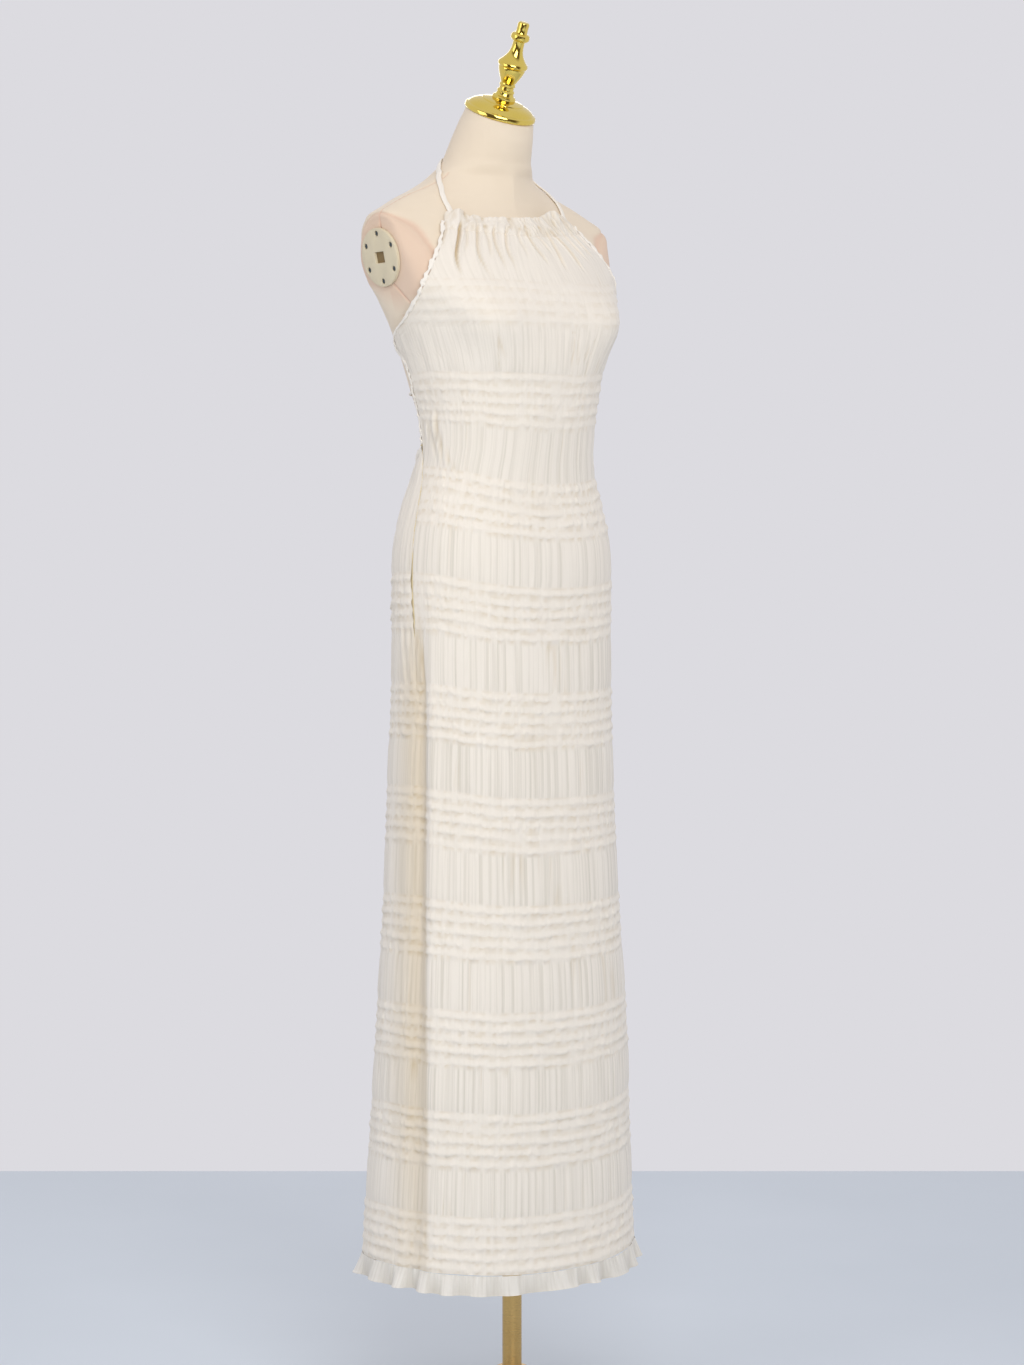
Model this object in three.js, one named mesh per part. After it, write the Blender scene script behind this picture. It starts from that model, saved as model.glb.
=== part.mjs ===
// A halter dress of crinkled chiffon, with bands of ruffled tucks, on a limbless dress form with a pole stand.
// Units are millimetres and +Z is up. The front faces -Y and the wearer's left is +X.
// The origin is on the floor under the pole. Each group below is built in the order of making up:
// the form and its stand first, then the cloth from neck to hem.
import * as THREE from "three";

// Driving dimensions of the dress
const HEM_Z = 180; // lowest edge of the hem frill
const CASING_TOP_Z = 1530; // top of the gathered neck casing at the centre front
const CASING_FOOT_Z = 1508; // where the casing meets the front
const WAIST_Z = 1228; // where the side seams start and the open back ends
const BACK_DIP = 24; // how far the back's top edge dips at the centre
const CLOTH = 1.6; // wall of tucked chiffon
const SEAM_GAP = 0.45; // parting between sewn pieces
const BANDS_BELOW_BUST = 9;
const BAND_PITCH = 130.2; // from one band's first tuck to the next band's
const FIRST_LOWER_BAND_Z = 1191; // first tuck of the band at the waist
const UNDERBUST_BAND_Z = 1328;
const BUST_BAND_Z = 1444;
const TUCKS = 5; // tucks in a band
const BUST_TUCKS = 4; // the band over the bust has one less
const TUCK_PITCH = 14.4;
const TUCK_HEIGHT = 4; // how far a tuck stands out
const BINDING_WIDTH = 5;
const BINDING_THICK = 2.8;
const BACK_BINDING_WIDTH = 8;
const ZIP_WIDTH = 3;
const ZIP_FOOT_Z = 990;
const STRAP_WIDTH = 7;
const STRAP_THICK = 2.4;
const BACK_CORD = 3.2; // width and thickness of the cords over the open back

// Driving dimensions of the form and the stand
const FORM_FOOT_Z = 905;
const NECK_TOP_Z = 1667;
const ARM_FACE = { x: 166, y: 47, z: 1473, lean: 12 }; // the flat ends of the shoulders, which lean in at the foot
const ARM_PLATE = { radius: 37, thick: 4, holeRing: 30, holeRadius: 3, slotWidth: 15, slotHeight: 21 };
const CAP_TILT = 25; // degrees that the neck's top leans forward
const CAP_RADIUS = 46.5;
const POLE_RADIUS = 12.5;
const FLANGE = { radius: 45, thick: 6 };
const BASE = { radius: 165, thick: 9, hubRadius: 24, hubHeight: 46, socketDepth: 40 };
const FIT = 0.3; // clearance between touching parts

const degrees = Math.PI / 180;

// A table of rows with named columns, read smoothly at any height without overshooting its rows.
function table(columns, rows) {
  const all = rows.map((r) => Object.fromEntries(columns.map((name, i) => [name, r[i]])));
  all.sort((p, q) => p.z - q.z);
  const slope = (name, i) => (all[i + 1][name] - all[i][name]) / (all[i + 1].z - all[i].z);
  const tangent = (name, i) => {
    if (i === 0 || i === all.length - 1) return 0;
    const below = slope(name, i - 1);
    const above = slope(name, i);
    return below * above <= 0 ? 0 : (2 * below * above) / (below + above);
  };
  return (z) => {
    const top = all.length - 1;
    const at = Math.min(Math.max(z, all[0].z), all[top].z);
    let i = 0;
    while (i < top - 1 && all[i + 1].z < at) i++;
    const span = all[i + 1].z - all[i].z;
    const u = (at - all[i].z) / span;
    const row = {};
    for (const name of columns) {
      const rise = all[i + 1][name] - all[i][name];
      const first = tangent(name, i) * span;
      const last = tangent(name, i + 1) * span;
      row[name] = all[i][name] + u * (first + u * (3 * rise - 2 * first - last + u * (first + last - 2 * rise)));
    }
    return row;
  };
}

// Sections of the form: half width, y of the front, of the back and of the widest point, then how square the front
// and the rear are, and the tilt.
const torsoAt = table(
  ["z", "half", "front", "back", "mid", "square", "rear", "tilt"],
  [
    [905, 134, -66, 108, 20, 2.3, 2.3, 0],
    [935, 141, -74, 114, 19, 2.3, 2.3, 0],
    [985, 145, -79, 119, 19, 2.3, 2.3, 0],
    [1048, 146, -81, 121, 18.5, 2.3, 2.3, 0],
    [1091, 145, -80, 121, 18.5, 2.3, 2.3, 0],
    [1130, 141, -76, 118, 18.5, 2.3, 2.3, 0],
    [1166, 132, -69, 113, 18, 2.3, 2.3, 0],
    [1205, 120, -62, 104, 17, 2.25, 2.25, 0],
    [1241, 114, -60, 98, 16, 2.2, 2.2, 0],
    [1279, 117, -61, 104, 17, 2.2, 2.2, 0],
    [1316, 125, -66, 117, 20, 2.2, 2.2, 0],
    [1354, 135, -75, 126, 24, 2.2, 2.2, 0],
    [1391, 149, -85, 133, 28, 2.2, 2.2, 0],
    [1429, 166, -80, 137, 36, 2.2, 2.3, 0],
    [1450, 175, -68, 140, 42, 2.1, 2.5, 0],
    [1481, 181, -49, 141, 46, 1.9, 2.8, 0],
    [1511, 181, -29, 137, 46, 1.55, 2.8, 0],
    [1530, 175, -15, 129, 46, 1.35, 2.8, 0],
    [1544, 154, -8, 126, 46, 1.3, 2.7, 0],
    [1556, 133, -5, 124, 47, 1.25, 2.7, 0],
    [1567, 110, -4, 122, 50, 1.25, 2.6, 0],
    [1586, 77, -3, 118, 54, 1.35, 2.4, 2],
    [1606, 58, -4, 109, 53, 2, 2, 6],
    [1628, 52, -9, 96, 43.5, 2, 2, 14],
    [1648, 48, -13.5, 81, 34, 2, 2, 20],
    [1667, 45, -14.5, 66.5, 26, 2, 2, 25],
  ],
);

// Sections of the dress's inner side, in the same columns.
const dressAt = table(
  ["z", "half", "front", "back", "mid", "square", "rear"],
  [
    [180, 183, -113, 161, 24, 2.3, 2.3],
    [200, 181, -112, 159, 24, 2.3, 2.3],
    [247, 178, -109, 157, 24, 2.3, 2.3],
    [360, 172, -106, 152, 22, 2.3, 2.3],
    [510, 166, -103, 143, 20, 2.3, 2.3],
    [660, 157, -95, 140, 21, 2.3, 2.3],
    [791, 152, -89, 138, 21, 2.3, 2.3],
    [941, 148, -85, 130, 19, 2.3, 2.3],
    [985, 148, -84, 128, 19, 2.3, 2.3],
    [1048, 149, -84, 127, 18.5, 2.3, 2.3],
    [1091, 148, -84, 127, 18.5, 2.3, 2.3],
    [1130, 144, -81, 123, 18.5, 2.3, 2.3],
    [1166, 135, -76, 118, 18, 2.3, 2.3],
    [1205, 123, -73, 108, 17, 2.25, 2.25],
    [1241, 117, -78, 101, 16, 2.2, 2.2],
    [1279, 120, -84, 107, 17, 2.2, 2.2],
    [1316, 128, -88, 120, 20, 2.2, 2.2],
    [1354, 137.5, -92, 129, 24, 2.2, 2.2],
    [1391, 151.5, -92, 136, 28, 2.2, 2.2],
    [1429, 168.5, -84, 140, 36, 2.2, 2.3],
    [1450, 177.5, -72, 143, 42, 2.1, 2.5],
    [1481, 185, -53.5, 144, 46, 1.9, 2.8],
    [1511, 184.5, -33.5, 140, 46, 1.55, 2.8],
    [1530, 179, -19, 132, 46, 1.35, 2.8],
    [1544, 158, -12, 129, 46, 1.3, 2.7],
    [1556, 137, -9, 127, 47, 1.25, 2.7],
  ],
);

// How far round from the centre front the front panel reaches at each height, in degrees.
const edgeAt = table(
  ["z", "reach"],
  [
    [1530, 44],
    [1508, 43],
    [1481, 46],
    [1460, 52],
    [1431, 65],
    [1408, 78],
    [1386, 95],
    [1374, 106],
    [1362, 108],
    [1346, 101],
    [1322, 99],
    [1290, 101],
    [1260, 101],
    [1228, 101],
    [1205, 97],
    [1170, 91],
    [1120, 88],
    [1048, 87],
    [990, 85.5],
    [180, 85],
  ],
);

// The soft ridge that falls from the zip's foot, the trough behind it, and how far the right and the left side lift
// the tucks above the centre front.
const drapeAt = table(
  ["z", "ridge", "crest", "trough", "right", "left"],
  [
    [1530, 0.82, 0, 0, 14, 30],
    [1508, 0.82, 0, 0, 12, 28],
    [1440, 0.82, 0, 0, 1, 14],
    [1315, 0.82, 0, 0, 4, 15],
    [1258, 0.82, 0, 0, 12, 16],
    [1188, 0.82, 0, 0, 22, 17],
    [1056, 0.86, 0, 0, 20, 16],
    [930, 0.86, 3, 5, 15, 7],
    [800, 0.84, 4, 9, 17, 4],
    [660, 0.82, 4, 8, 14, 6],
    [540, 0.79, 3, 5, 11, 10],
    [400, 0.75, 2, 3, 10, 13],
    [180, 0.72, 1.5, 2, 9, 13],
  ],
);

// A soft mound on both sides of the front, 1 at its top and falling away in every direction.
function mound({ angle, spread, z, above, below }, t, level) {
  const across = (Math.abs(t) - angle) / spread;
  const along = (level - z) / (level > z ? above : below);
  return Math.exp(-across * across - along * along);
}
const CUP = { angle: 36, spread: 21, z: 1396, above: 36, below: 44 };
const SHOULDER = { angle: 74, spread: 17, z: 1512, above: 38, below: 48 };
const TORSO_CUP = 17;
const DRESS_CUP = 20;
const SHOULDER_RISE = 14;

// A point of a section at t degrees from the centre front, moved out along the section's own normal.
function sectionPoint(row, t, out) {
  const at = (angle) => {
    const s = Math.sin(angle * degrees);
    const c = Math.cos(angle * degrees);
    const power = 2 / (c > 0 ? row.square : row.rear);
    const depth = c > 0 ? row.mid - row.front : row.back - row.mid;
    const x = row.half * Math.sign(s) * Math.abs(s) ** power;
    return [x, row.mid - depth * Math.sign(c) * Math.abs(c) ** power];
  };
  const step = 2.5;
  const [x, y] = at(t);
  const [x0, y0] = at(t - step);
  const [x1, y1] = at(t + step);
  const length = Math.hypot(x1 - x0, y1 - y0);
  return new THREE.Vector3(x + (out * (y1 - y0)) / length, y - (out * (x1 - x0)) / length, row.z);
}

function torsoPoint(t, z) {
  const row = torsoAt(z);
  const p = sectionPoint(row, t, TORSO_CUP * mound(CUP, t, z) + SHOULDER_RISE * mound(SHOULDER, t, z));
  const limit = ARM_FACE.x + (z - ARM_FACE.z) * Math.tan(ARM_FACE.lean * degrees);
  p.x = Math.min(Math.max(p.x, -limit), limit);
  p.z += (p.y - row.mid) * Math.tan(row.tilt * degrees);
  return p;
}

// Ridge and trough of the drape at t degrees.
function drape(t, z) {
  const { ridge, crest, trough } = drapeAt(z);
  const reach = edgeAt(z).reach;
  const soft = (centre, width) => Math.exp(-(((Math.abs(t) - centre) / width) ** 2));
  return crest * soft(ridge * reach, 7) - trough * soft(((ridge + 1) / 2) * reach, 6);
}

function dressPoint(t, z, out = 0) {
  const around = Math.sin(t * degrees);
  const { right, left } = drapeAt(z);
  const level = z + (around < 0 ? right : left) * around ** 2;
  const body = DRESS_CUP * mound(CUP, t, level) + SHOULDER_RISE * mound(SHOULDER, t, level);
  return sectionPoint(dressAt(level), t, out + body + drape(t, z));
}

// Degrees that a length takes up along a section of the dress.
function degreesFor(length, t, z) {
  return length / dressPoint(t + 0.5, z).distanceTo(dressPoint(t - 0.5, z));
}

// A number from 0 to 1 that looks uneven from one place to the next but is always the same.
function uneven(i, j) {
  const wave = Math.sin(i * 12.9898 + j * 78.233) * 43758.5453;
  return wave - Math.floor(wave);
}

// Triangles between two chains of points that run the same way; each step goes to the nearer next point.
function zipper(faces, a, b) {
  let i = 0;
  let j = 0;
  while (i < a.length - 1 || j < b.length - 1) {
    const stepA = j === b.length - 1 || (i < a.length - 1 && a[i + 1].distanceTo(b[j]) <= a[i].distanceTo(b[j + 1]));
    if (stepA) faces.push([a[i], a[i + 1], b[j]]);
    else faces.push([a[i], b[j + 1], b[j]]);
    if (stepA) i++;
    else j++;
  }
}

// Triangles of one skin, whose rings have the same number of points.
function skin(faces, rings, turned) {
  for (let r = 0; r + 1 < rings.length; r++) {
    for (let k = 0; k + 1 < rings[r].length; k++) {
      const [p, q, s, u] = [rings[r][k], rings[r][k + 1], rings[r + 1][k + 1], rings[r + 1][k]];
      if (turned) faces.push([p, s, q], [p, u, s]);
      else faces.push([p, q, s], [p, s, u]);
    }
  }
}

// One closed body from its faces, turned to point outwards.
function solid(faces) {
  let volume = 0;
  for (const [a, b, c] of faces) volume += a.dot(new THREE.Vector3().crossVectors(b, c));
  const facing = volume > 0 ? faces : faces.map(([a, b, c]) => [a, c, b]);
  const numbers = facing.flat().flatMap((p) => [p.x, p.y, p.z]);
  const geometry = new THREE.BufferGeometry();
  geometry.setAttribute("position", new THREE.Float32BufferAttribute(numbers, 3));
  geometry.computeVertexNormals();
  return geometry;
}

// A cloth wall from its outer rings and its inner rings, both from the top down, with a rim all round.
function wall(outer, inner) {
  const faces = [];
  const column = (rings, k) => rings.map((ring) => ring.at(k));
  skin(faces, outer, false);
  skin(faces, inner, true);
  skin(faces, [inner[0], outer[0]], false);
  skin(faces, [outer.at(-1), inner.at(-1)], false);
  zipper(faces, column(outer, 0), column(inner, 0));
  zipper(faces, column(inner, -1), column(outer, -1));
  return solid(faces);
}

// A closed loft through rings of points, flat at both ends.
function loft(rings) {
  const faces = [];
  skin(faces, rings.map((ring) => [...ring, ring[0]]), false);
  for (const [ring, turned] of [
    [rings[0], true],
    [rings.at(-1), false],
  ]) {
    const centre = ring.reduce((sum, p) => sum.add(p), new THREE.Vector3()).divideScalar(ring.length);
    ring.forEach((p, k) => {
      const q = ring[(k + 1) % ring.length];
      faces.push(turned ? [p, centre, q] : [p, q, centre]);
    });
  }
  return solid(faces);
}

// A turned piece about the Z axis from rows of radius and height.
function turned(profile, segments) {
  const geometry = new THREE.LatheGeometry(profile.map(([r, z]) => new THREE.Vector2(r, z)), segments);
  return geometry.rotateX(Math.PI / 2);
}

const finish = {
  chiffon: new THREE.MeshStandardMaterial({ color: 0xf1e7d8, roughness: 0.85 }),
  binding: new THREE.MeshStandardMaterial({ color: 0xefe6d4, roughness: 0.8 }),
  zip: new THREE.MeshStandardMaterial({ color: 0xcdb892, roughness: 0.6 }),
  jersey: new THREE.MeshStandardMaterial({ color: 0xe9dcc8, roughness: 0.9 }),
  plate: new THREE.MeshStandardMaterial({ color: 0xd6cfb4, roughness: 0.5 }),
  gold: new THREE.MeshStandardMaterial({ color: 0xd9bf4a, roughness: 0.15, metalness: 1 }),
  brass: new THREE.MeshStandardMaterial({ color: 0xa07c45, roughness: 0.35, metalness: 1 }),
};

const part = new THREE.Group();
function add(name, geometry, material, parent = part) {
  const mesh = new THREE.Mesh(geometry, material);
  mesh.name = name;
  parent.add(mesh);
  return mesh;
}

// The form: a stuffed torso and neck under stretched jersey, with flat shoulder ends.
const TORSO_COLUMNS = 28;
const TORSO_LEVELS = [
  905, 935, 985, 1048, 1091, 1130, 1166, 1205, 1241, 1279, 1316, 1345, 1370, 1396, 1422, 1445, 1465, 1485, 1503, 1518,
  1530, 1541, 1552, 1562, 1573, 1586, 1606, 1628, 1648, 1667,
];
const torsoRings = TORSO_LEVELS.map((z) =>
  Array.from({ length: TORSO_COLUMNS }, (_, k) => torsoPoint((k * 360) / TORSO_COLUMNS, z)),
);
add("form_torso", loft(torsoRings), finish.jersey);

// A point on the form's own faces at t degrees and a level, moved straight out of them.
function onForm(t, z, out) {
  const column = ((t / 360) * TORSO_COLUMNS + TORSO_COLUMNS) % TORSO_COLUMNS;
  const k = Math.floor(column);
  const i = Math.max(0, TORSO_LEVELS.findIndex((level) => level > z) - 1);
  const across = column - k;
  const up = (z - TORSO_LEVELS[i]) / (TORSO_LEVELS[i + 1] - TORSO_LEVELS[i]);
  const [a, b] = [torsoRings[i][k], torsoRings[i][(k + 1) % TORSO_COLUMNS]];
  const [c, d] = [torsoRings[i + 1][k], torsoRings[i + 1][(k + 1) % TORSO_COLUMNS]];
  const low = a.clone().lerp(b, across);
  const high = c.clone().lerp(d, across);
  const along = a.clone().lerp(c, up).sub(b.clone().lerp(d, up)).negate();
  const normal = along.cross(high.clone().sub(low)).normalize();
  return low.lerp(high, up).addScaledVector(normal, out);
}

// Round plates on the shoulder ends, where arms would fasten, each with six holes and a slot.
function armPlate() {
  const circle = (x, y, radius, steps) =>
    Array.from({ length: steps }, (_, k) => {
      const angle = (2 * Math.PI * k) / steps;
      return new THREE.Vector2(x + radius * Math.cos(angle), y + radius * Math.sin(angle));
    });
  const outline = new THREE.Shape(circle(0, 0, ARM_PLATE.radius, 28));
  for (const { x, y } of circle(0, 0, ARM_PLATE.holeRing, 6)) {
    outline.holes.push(new THREE.Path(circle(x, y, ARM_PLATE.holeRadius, 8)));
  }
  const [w, h] = [ARM_PLATE.slotWidth / 2, ARM_PLATE.slotHeight / 2];
  outline.holes.push(new THREE.Path().moveTo(-w, -h).lineTo(w, -h).lineTo(w, h).lineTo(-w, h).closePath());
  return new THREE.ExtrudeGeometry(outline, { depth: ARM_PLATE.thick, bevelEnabled: false });
}
for (const [side, name] of [
  [-1, "arm_plate_right"],
  [1, "arm_plate_left"],
]) {
  const plate = add(name, armPlate(), finish.plate);
  const lean = ARM_FACE.lean * degrees;
  plate.rotation.set(0, side * (Math.PI / 2 + lean), 0);
  plate.position.set(side * (ARM_FACE.x + FIT * Math.cos(lean)), ARM_FACE.y, ARM_FACE.z - FIT * Math.sin(lean));
}

// The neck's cap and its finial, leaning with the neck.
const neckTop = new THREE.Group();
neckTop.position.set(0, torsoAt(NECK_TOP_Z).mid, NECK_TOP_Z);
neckTop.rotation.x = CAP_TILT * degrees;
part.add(neckTop);
const CAP_HEIGHT = 17;
add(
  "neck_cap",
  turned(
    [
      [0, FIT],
      [CAP_RADIUS - 1.5, FIT],
      [CAP_RADIUS, 2],
      [CAP_RADIUS, 5],
      [CAP_RADIUS - 3, 7.5],
      [CAP_RADIUS - 14, 10.5],
      [CAP_RADIUS - 26, 14.5],
      [CAP_RADIUS - 31, CAP_HEIGHT],
      [0, CAP_HEIGHT],
    ],
    28,
  ),
  finish.gold,
  neckTop,
);
const finial = add(
  "finial",
  turned(
    [
      [0, 0],
      [12, 0],
      [13, 3.5],
      [11.5, 7],
      [8, 9.5],
      [9.5, 12],
      [8.5, 14.5],
      [8, 20],
      [10.5, 26],
      [14.5, 35],
      [17, 45],
      [18, 49],
      [13.5, 55],
      [8.5, 61],
      [6.5, 69],
      [6.2, 77],
      [9.6, 80],
      [10.5, 83.5],
      [9.5, 87],
      [5.8, 89.5],
      [6.3, 101],
      [5, 104],
      [0, 104],
    ],
    14,
  ),
  finish.gold,
  neckTop,
);
finial.position.z = CAP_HEIGHT + FIT;

// The pole with its flange under the form, and the base with a socket for the pole.
const poleFoot = BASE.thick + BASE.hubHeight - BASE.socketDepth + FIT;
const poleTop = FORM_FOOT_Z - FIT;
add(
  "pole",
  turned(
    [
      [0, poleFoot],
      [POLE_RADIUS, poleFoot],
      [POLE_RADIUS, poleTop - FLANGE.thick],
      [FLANGE.radius, poleTop - FLANGE.thick],
      [FLANGE.radius, poleTop],
      [0, poleTop],
    ],
    24,
  ),
  finish.brass,
);
const hubTop = BASE.thick + BASE.hubHeight;
const socketFoot = hubTop - BASE.socketDepth;
add(
  "base",
  turned(
    [
      [0, 0],
      [BASE.radius, 0],
      [BASE.radius, BASE.thick - 3],
      [BASE.radius - 4, BASE.thick],
      [BASE.hubRadius + 4, BASE.thick + 2],
      [BASE.hubRadius, BASE.thick + 8],
      [BASE.hubRadius - 3, hubTop],
      [POLE_RADIUS + FIT, hubTop],
      [POLE_RADIUS + FIT, socketFoot],
      [0, socketFoot],
    ],
    24,
  ),
  finish.brass,
);

// Rings of the tucked cloth from the top down: height, how far a tuck stands out there, and the depth of the gathers.
// A tuck is stitched down along its top and stands out at its lower edge, so each is a slope and a step.
// The cloth's inner side keeps the rings marked plain, and all of those above the zip's foot.
function bandRings(top, tucks) {
  const rings = [];
  for (let k = 0; k < tucks; k++) {
    const z = top - k * TUCK_PITCH;
    rings.push({ z, tuck: 0, gather: 0, plain: k === 0 });
    rings.push({ z: z - 0.72 * TUCK_PITCH, tuck: TUCK_HEIGHT, gather: 0 });
  }
  rings.push({ z: bandFoot({ top, tucks }), tuck: 0, gather: 0, plain: true });
  return rings;
}

function bandFoot({ top, tucks }) {
  return top - (tucks - 0.1) * TUCK_PITCH;
}

// Rings of a gathered stretch: the gathers rise from one stitched line and fall to the next.
function gatherRings(from, to, depth, panel) {
  const span = from - to;
  return [0.2, 0.8].map((share) => ({ z: from - share * span, tuck: 0, gather: depth, panel }));
}

const bands = [
  { top: BUST_BAND_Z, tucks: BUST_TUCKS },
  { top: UNDERBUST_BAND_Z, tucks: TUCKS },
];
for (let k = 0; k < BANDS_BELOW_BUST - 1; k++) {
  bands.push({ top: FIRST_LOWER_BAND_Z - k * BAND_PITCH, tucks: TUCKS });
}
const GATHER_DEPTH = 2.6;
const YOKE_GATHER_DEPTH = 3.6;
const frontTop = CASING_FOOT_Z - SEAM_GAP / 2;
const clothFoot = bandFoot(bands.at(-1));
const frontRings = [{ z: frontTop, tuck: 0, gather: 1.5, panel: 0 }];
let above = CASING_FOOT_Z;
bands.forEach((band, k) => {
  frontRings.push(...gatherRings(above, band.top, k === 0 ? YOKE_GATHER_DEPTH : GATHER_DEPTH, k));
  if (k === 1) frontRings.push({ z: 1370, tuck: 0, gather: GATHER_DEPTH, panel: k });
  frontRings.push(...bandRings(band.top, band.tucks));
  above = bandFoot(band);
});
frontRings.sort((p, q) => q.z - p.z);

// How wide the zip's slit is: it narrows to nothing at the zip's foot.
function slit(z) {
  const share = Math.min(Math.max((z - ZIP_FOOT_Z) / 25, 0), 1);
  return share * (ZIP_WIDTH + SEAM_GAP);
}

// Where the front ends on one side, and where the back starts.
function seamAngle(side, z, piece) {
  const reach = edgeAt(z).reach;
  const past = piece === "front" ? -SEAM_GAP / 2 : SEAM_GAP / 2 + (side < 0 ? slit(z) : 0);
  return reach + degreesFor(past, side * reach, z);
}

// Angles of the front's columns: even as far as the drape's ridge, then the trough, then the seam.
const RIDGE_COLUMN = 6;
const EDGE_COLUMN = 8;
function frontAngle(column, z) {
  const side = Math.sign(column);
  const edge = seamAngle(side || 1, z, "front");
  const ridge = drapeAt(z).ridge * edge;
  const k = Math.abs(column);
  if (k <= RIDGE_COLUMN) return (side * ridge * k) / RIDGE_COLUMN;
  return side * (k === EDGE_COLUMN ? edge : (ridge + edge) / 2);
}

// How far the outer side stands out at a column: tucks are level, gathers go up and down from column to column.
function relief(ring, column) {
  const tuck = ring.tuck * (0.85 + 0.3 * uneven(column, ring.z));
  const fold = column % 2 ? 0.35 + 0.65 * uneven(column, ring.panel ?? 0) : 0;
  return tuck + ring.gather * fold;
}

const frontColumns = Array.from({ length: 2 * EDGE_COLUMN + 1 }, (_, k) => k - EDGE_COLUMN);
const frontOuter = frontRings.map((ring) =>
  frontColumns.map((c) => {
    const free = Math.abs(c) === EDGE_COLUMN && ring.z > WAIST_Z ? 0.3 : 1;
    return dressPoint(frontAngle(c, ring.z), ring.z, CLOTH + free * relief(ring, c));
  }),
);
function innerSide(rings, place) {
  const kept = rings.filter((ring, k) => k === 0 || k === rings.length - 1 || ring.plain || ring.z > ZIP_FOOT_Z);
  return kept.map(place);
}
const frontInner = innerSide(frontRings, (ring) => frontColumns.map((c) => dressPoint(frontAngle(c, ring.z), ring.z)));
add("front", wall(frontOuter, frontInner), finish.chiffon);

// The back: plain and gathered at the top, then tucked in line with the front from the hips down.
const BACK_COLUMNS = 12;
function backAngle(column, z) {
  const right = 360 - seamAngle(-1, z, "back");
  const left = seamAngle(1, z, "back");
  return left + ((right - left) * column) / BACK_COLUMNS;
}

// Heights near the back's top edge follow its dip at the centre.
function backPoint(t, z, out) {
  const near = Math.min(Math.max((z - 1080) / (WAIST_Z - 1080), 0), 1);
  return dressPoint(t, z - BACK_DIP * near * Math.max(0, -Math.cos(t * degrees)), out);
}

const backTop = WAIST_Z - SEAM_GAP / 2 - BACK_BINDING_WIDTH - SEAM_GAP;
const PLAIN_BACK_FOOT_Z = 1100; // no tucks on the back above this
const backRings = [{ z: backTop, tuck: 0, gather: 0.8, panel: 20 }];
for (const ring of frontRings) {
  if (ring.z > backTop - 4) continue;
  const plainCloth = { ...ring, tuck: 0, gather: 2, panel: ring.z > 1150 ? 20 : 21 };
  backRings.push(ring.z > PLAIN_BACK_FOOT_Z ? plainCloth : { ...ring, panel: 20 + (ring.panel ?? 0) });
}
const backColumns = Array.from({ length: BACK_COLUMNS + 1 }, (_, k) => k);
const backOuter = backRings.map((ring) =>
  backColumns.map((c) => backPoint(backAngle(c, ring.z), ring.z, CLOTH + relief(ring, c))),
);
const backInner = innerSide(backRings, (ring) => backColumns.map((c) => backPoint(backAngle(c, ring.z), ring.z, 0)));
add("back", wall(backOuter, backInner), finish.chiffon);

// The binding on the back's top edge.
const backBindingRings = [WAIST_Z - SEAM_GAP / 2, WAIST_Z - SEAM_GAP / 2 - BACK_BINDING_WIDTH];
const backBindingStrip = (out) =>
  backBindingRings.map((z) => backColumns.map((c) => backPoint(backAngle(c, z), z, out)));
add("back_binding", wall(backBindingStrip(2.6), backBindingStrip(0)), finish.binding);

// The frills below the last band, each with its flutes: shallow where it is sewn on and deep at the hem.
const FRILL_WALL = 1.2;
const FLUTE_DEPTH = 5;
function frill(from, to, flutes) {
  const steps = flutes * 2;
  const top = clothFoot - SEAM_GAP;
  const point = (k, share, out) => {
    const t = from + ((to - from) * k) / steps;
    const wave = (k % 2 ? 1 : -1) * (0.7 + 0.5 * uneven(k, flutes));
    const z = top - share * (top - HEM_Z - 2 * uneven(k, flutes));
    return dressPoint(t, z, out + 1 + FLUTE_DEPTH * (0.8 * share + wave * (0.12 + 0.88 * share)));
  };
  const rings = (out) => [0, 0.5, 1].map((share) => Array.from({ length: steps + 1 }, (_, k) => point(k, share, out)));
  return wall(rings(FRILL_WALL), rings(0));
}
const hemSeam = (side, piece) => seamAngle(side, clothFoot, piece);
add("hem_frill_front", frill(-hemSeam(-1, "front"), hemSeam(1, "front"), 21), finish.chiffon);
add("hem_frill_back", frill(hemSeam(1, "back"), 360 - hemSeam(-1, "back"), 19), finish.chiffon);

// The neck casing: a gathered tube for the halter strap with a small frill standing above it.
const CASING_FLUTES = 10;
const CASING_RINGS = [
  { z: CASING_TOP_Z, out: 2.4, wave: 1.6 },
  { z: CASING_TOP_Z - 5, out: 3, wave: 1.2 },
  { z: CASING_TOP_Z - 9, out: 5, wave: 0.8 },
  { z: CASING_TOP_Z - 16, out: 5.4, wave: 1 },
  { z: CASING_FOOT_Z + SEAM_GAP / 2, out: 3.2, wave: 1.2 },
];
const casingColumns = Array.from({ length: CASING_FLUTES * 2 + 1 }, (_, k) => k);
function casingPoint(k, ring, outer) {
  const reach = edgeAt(ring.z).reach;
  const t = reach * (k / CASING_FLUTES - 1);
  const wave = ring.wave * (k % 2 ? 1 : -1) * (0.5 + 0.6 * uneven(k, 3));
  return dressPoint(t, ring.z, outer ? ring.out + wave : 0);
}
add(
  "neck_casing",
  wall(
    CASING_RINGS.map((ring) => casingColumns.map((k) => casingPoint(k, ring, true))),
    CASING_RINGS.map((ring) => casingColumns.map((k) => casingPoint(k, ring, false))),
  ),
  finish.chiffon,
);

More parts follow.
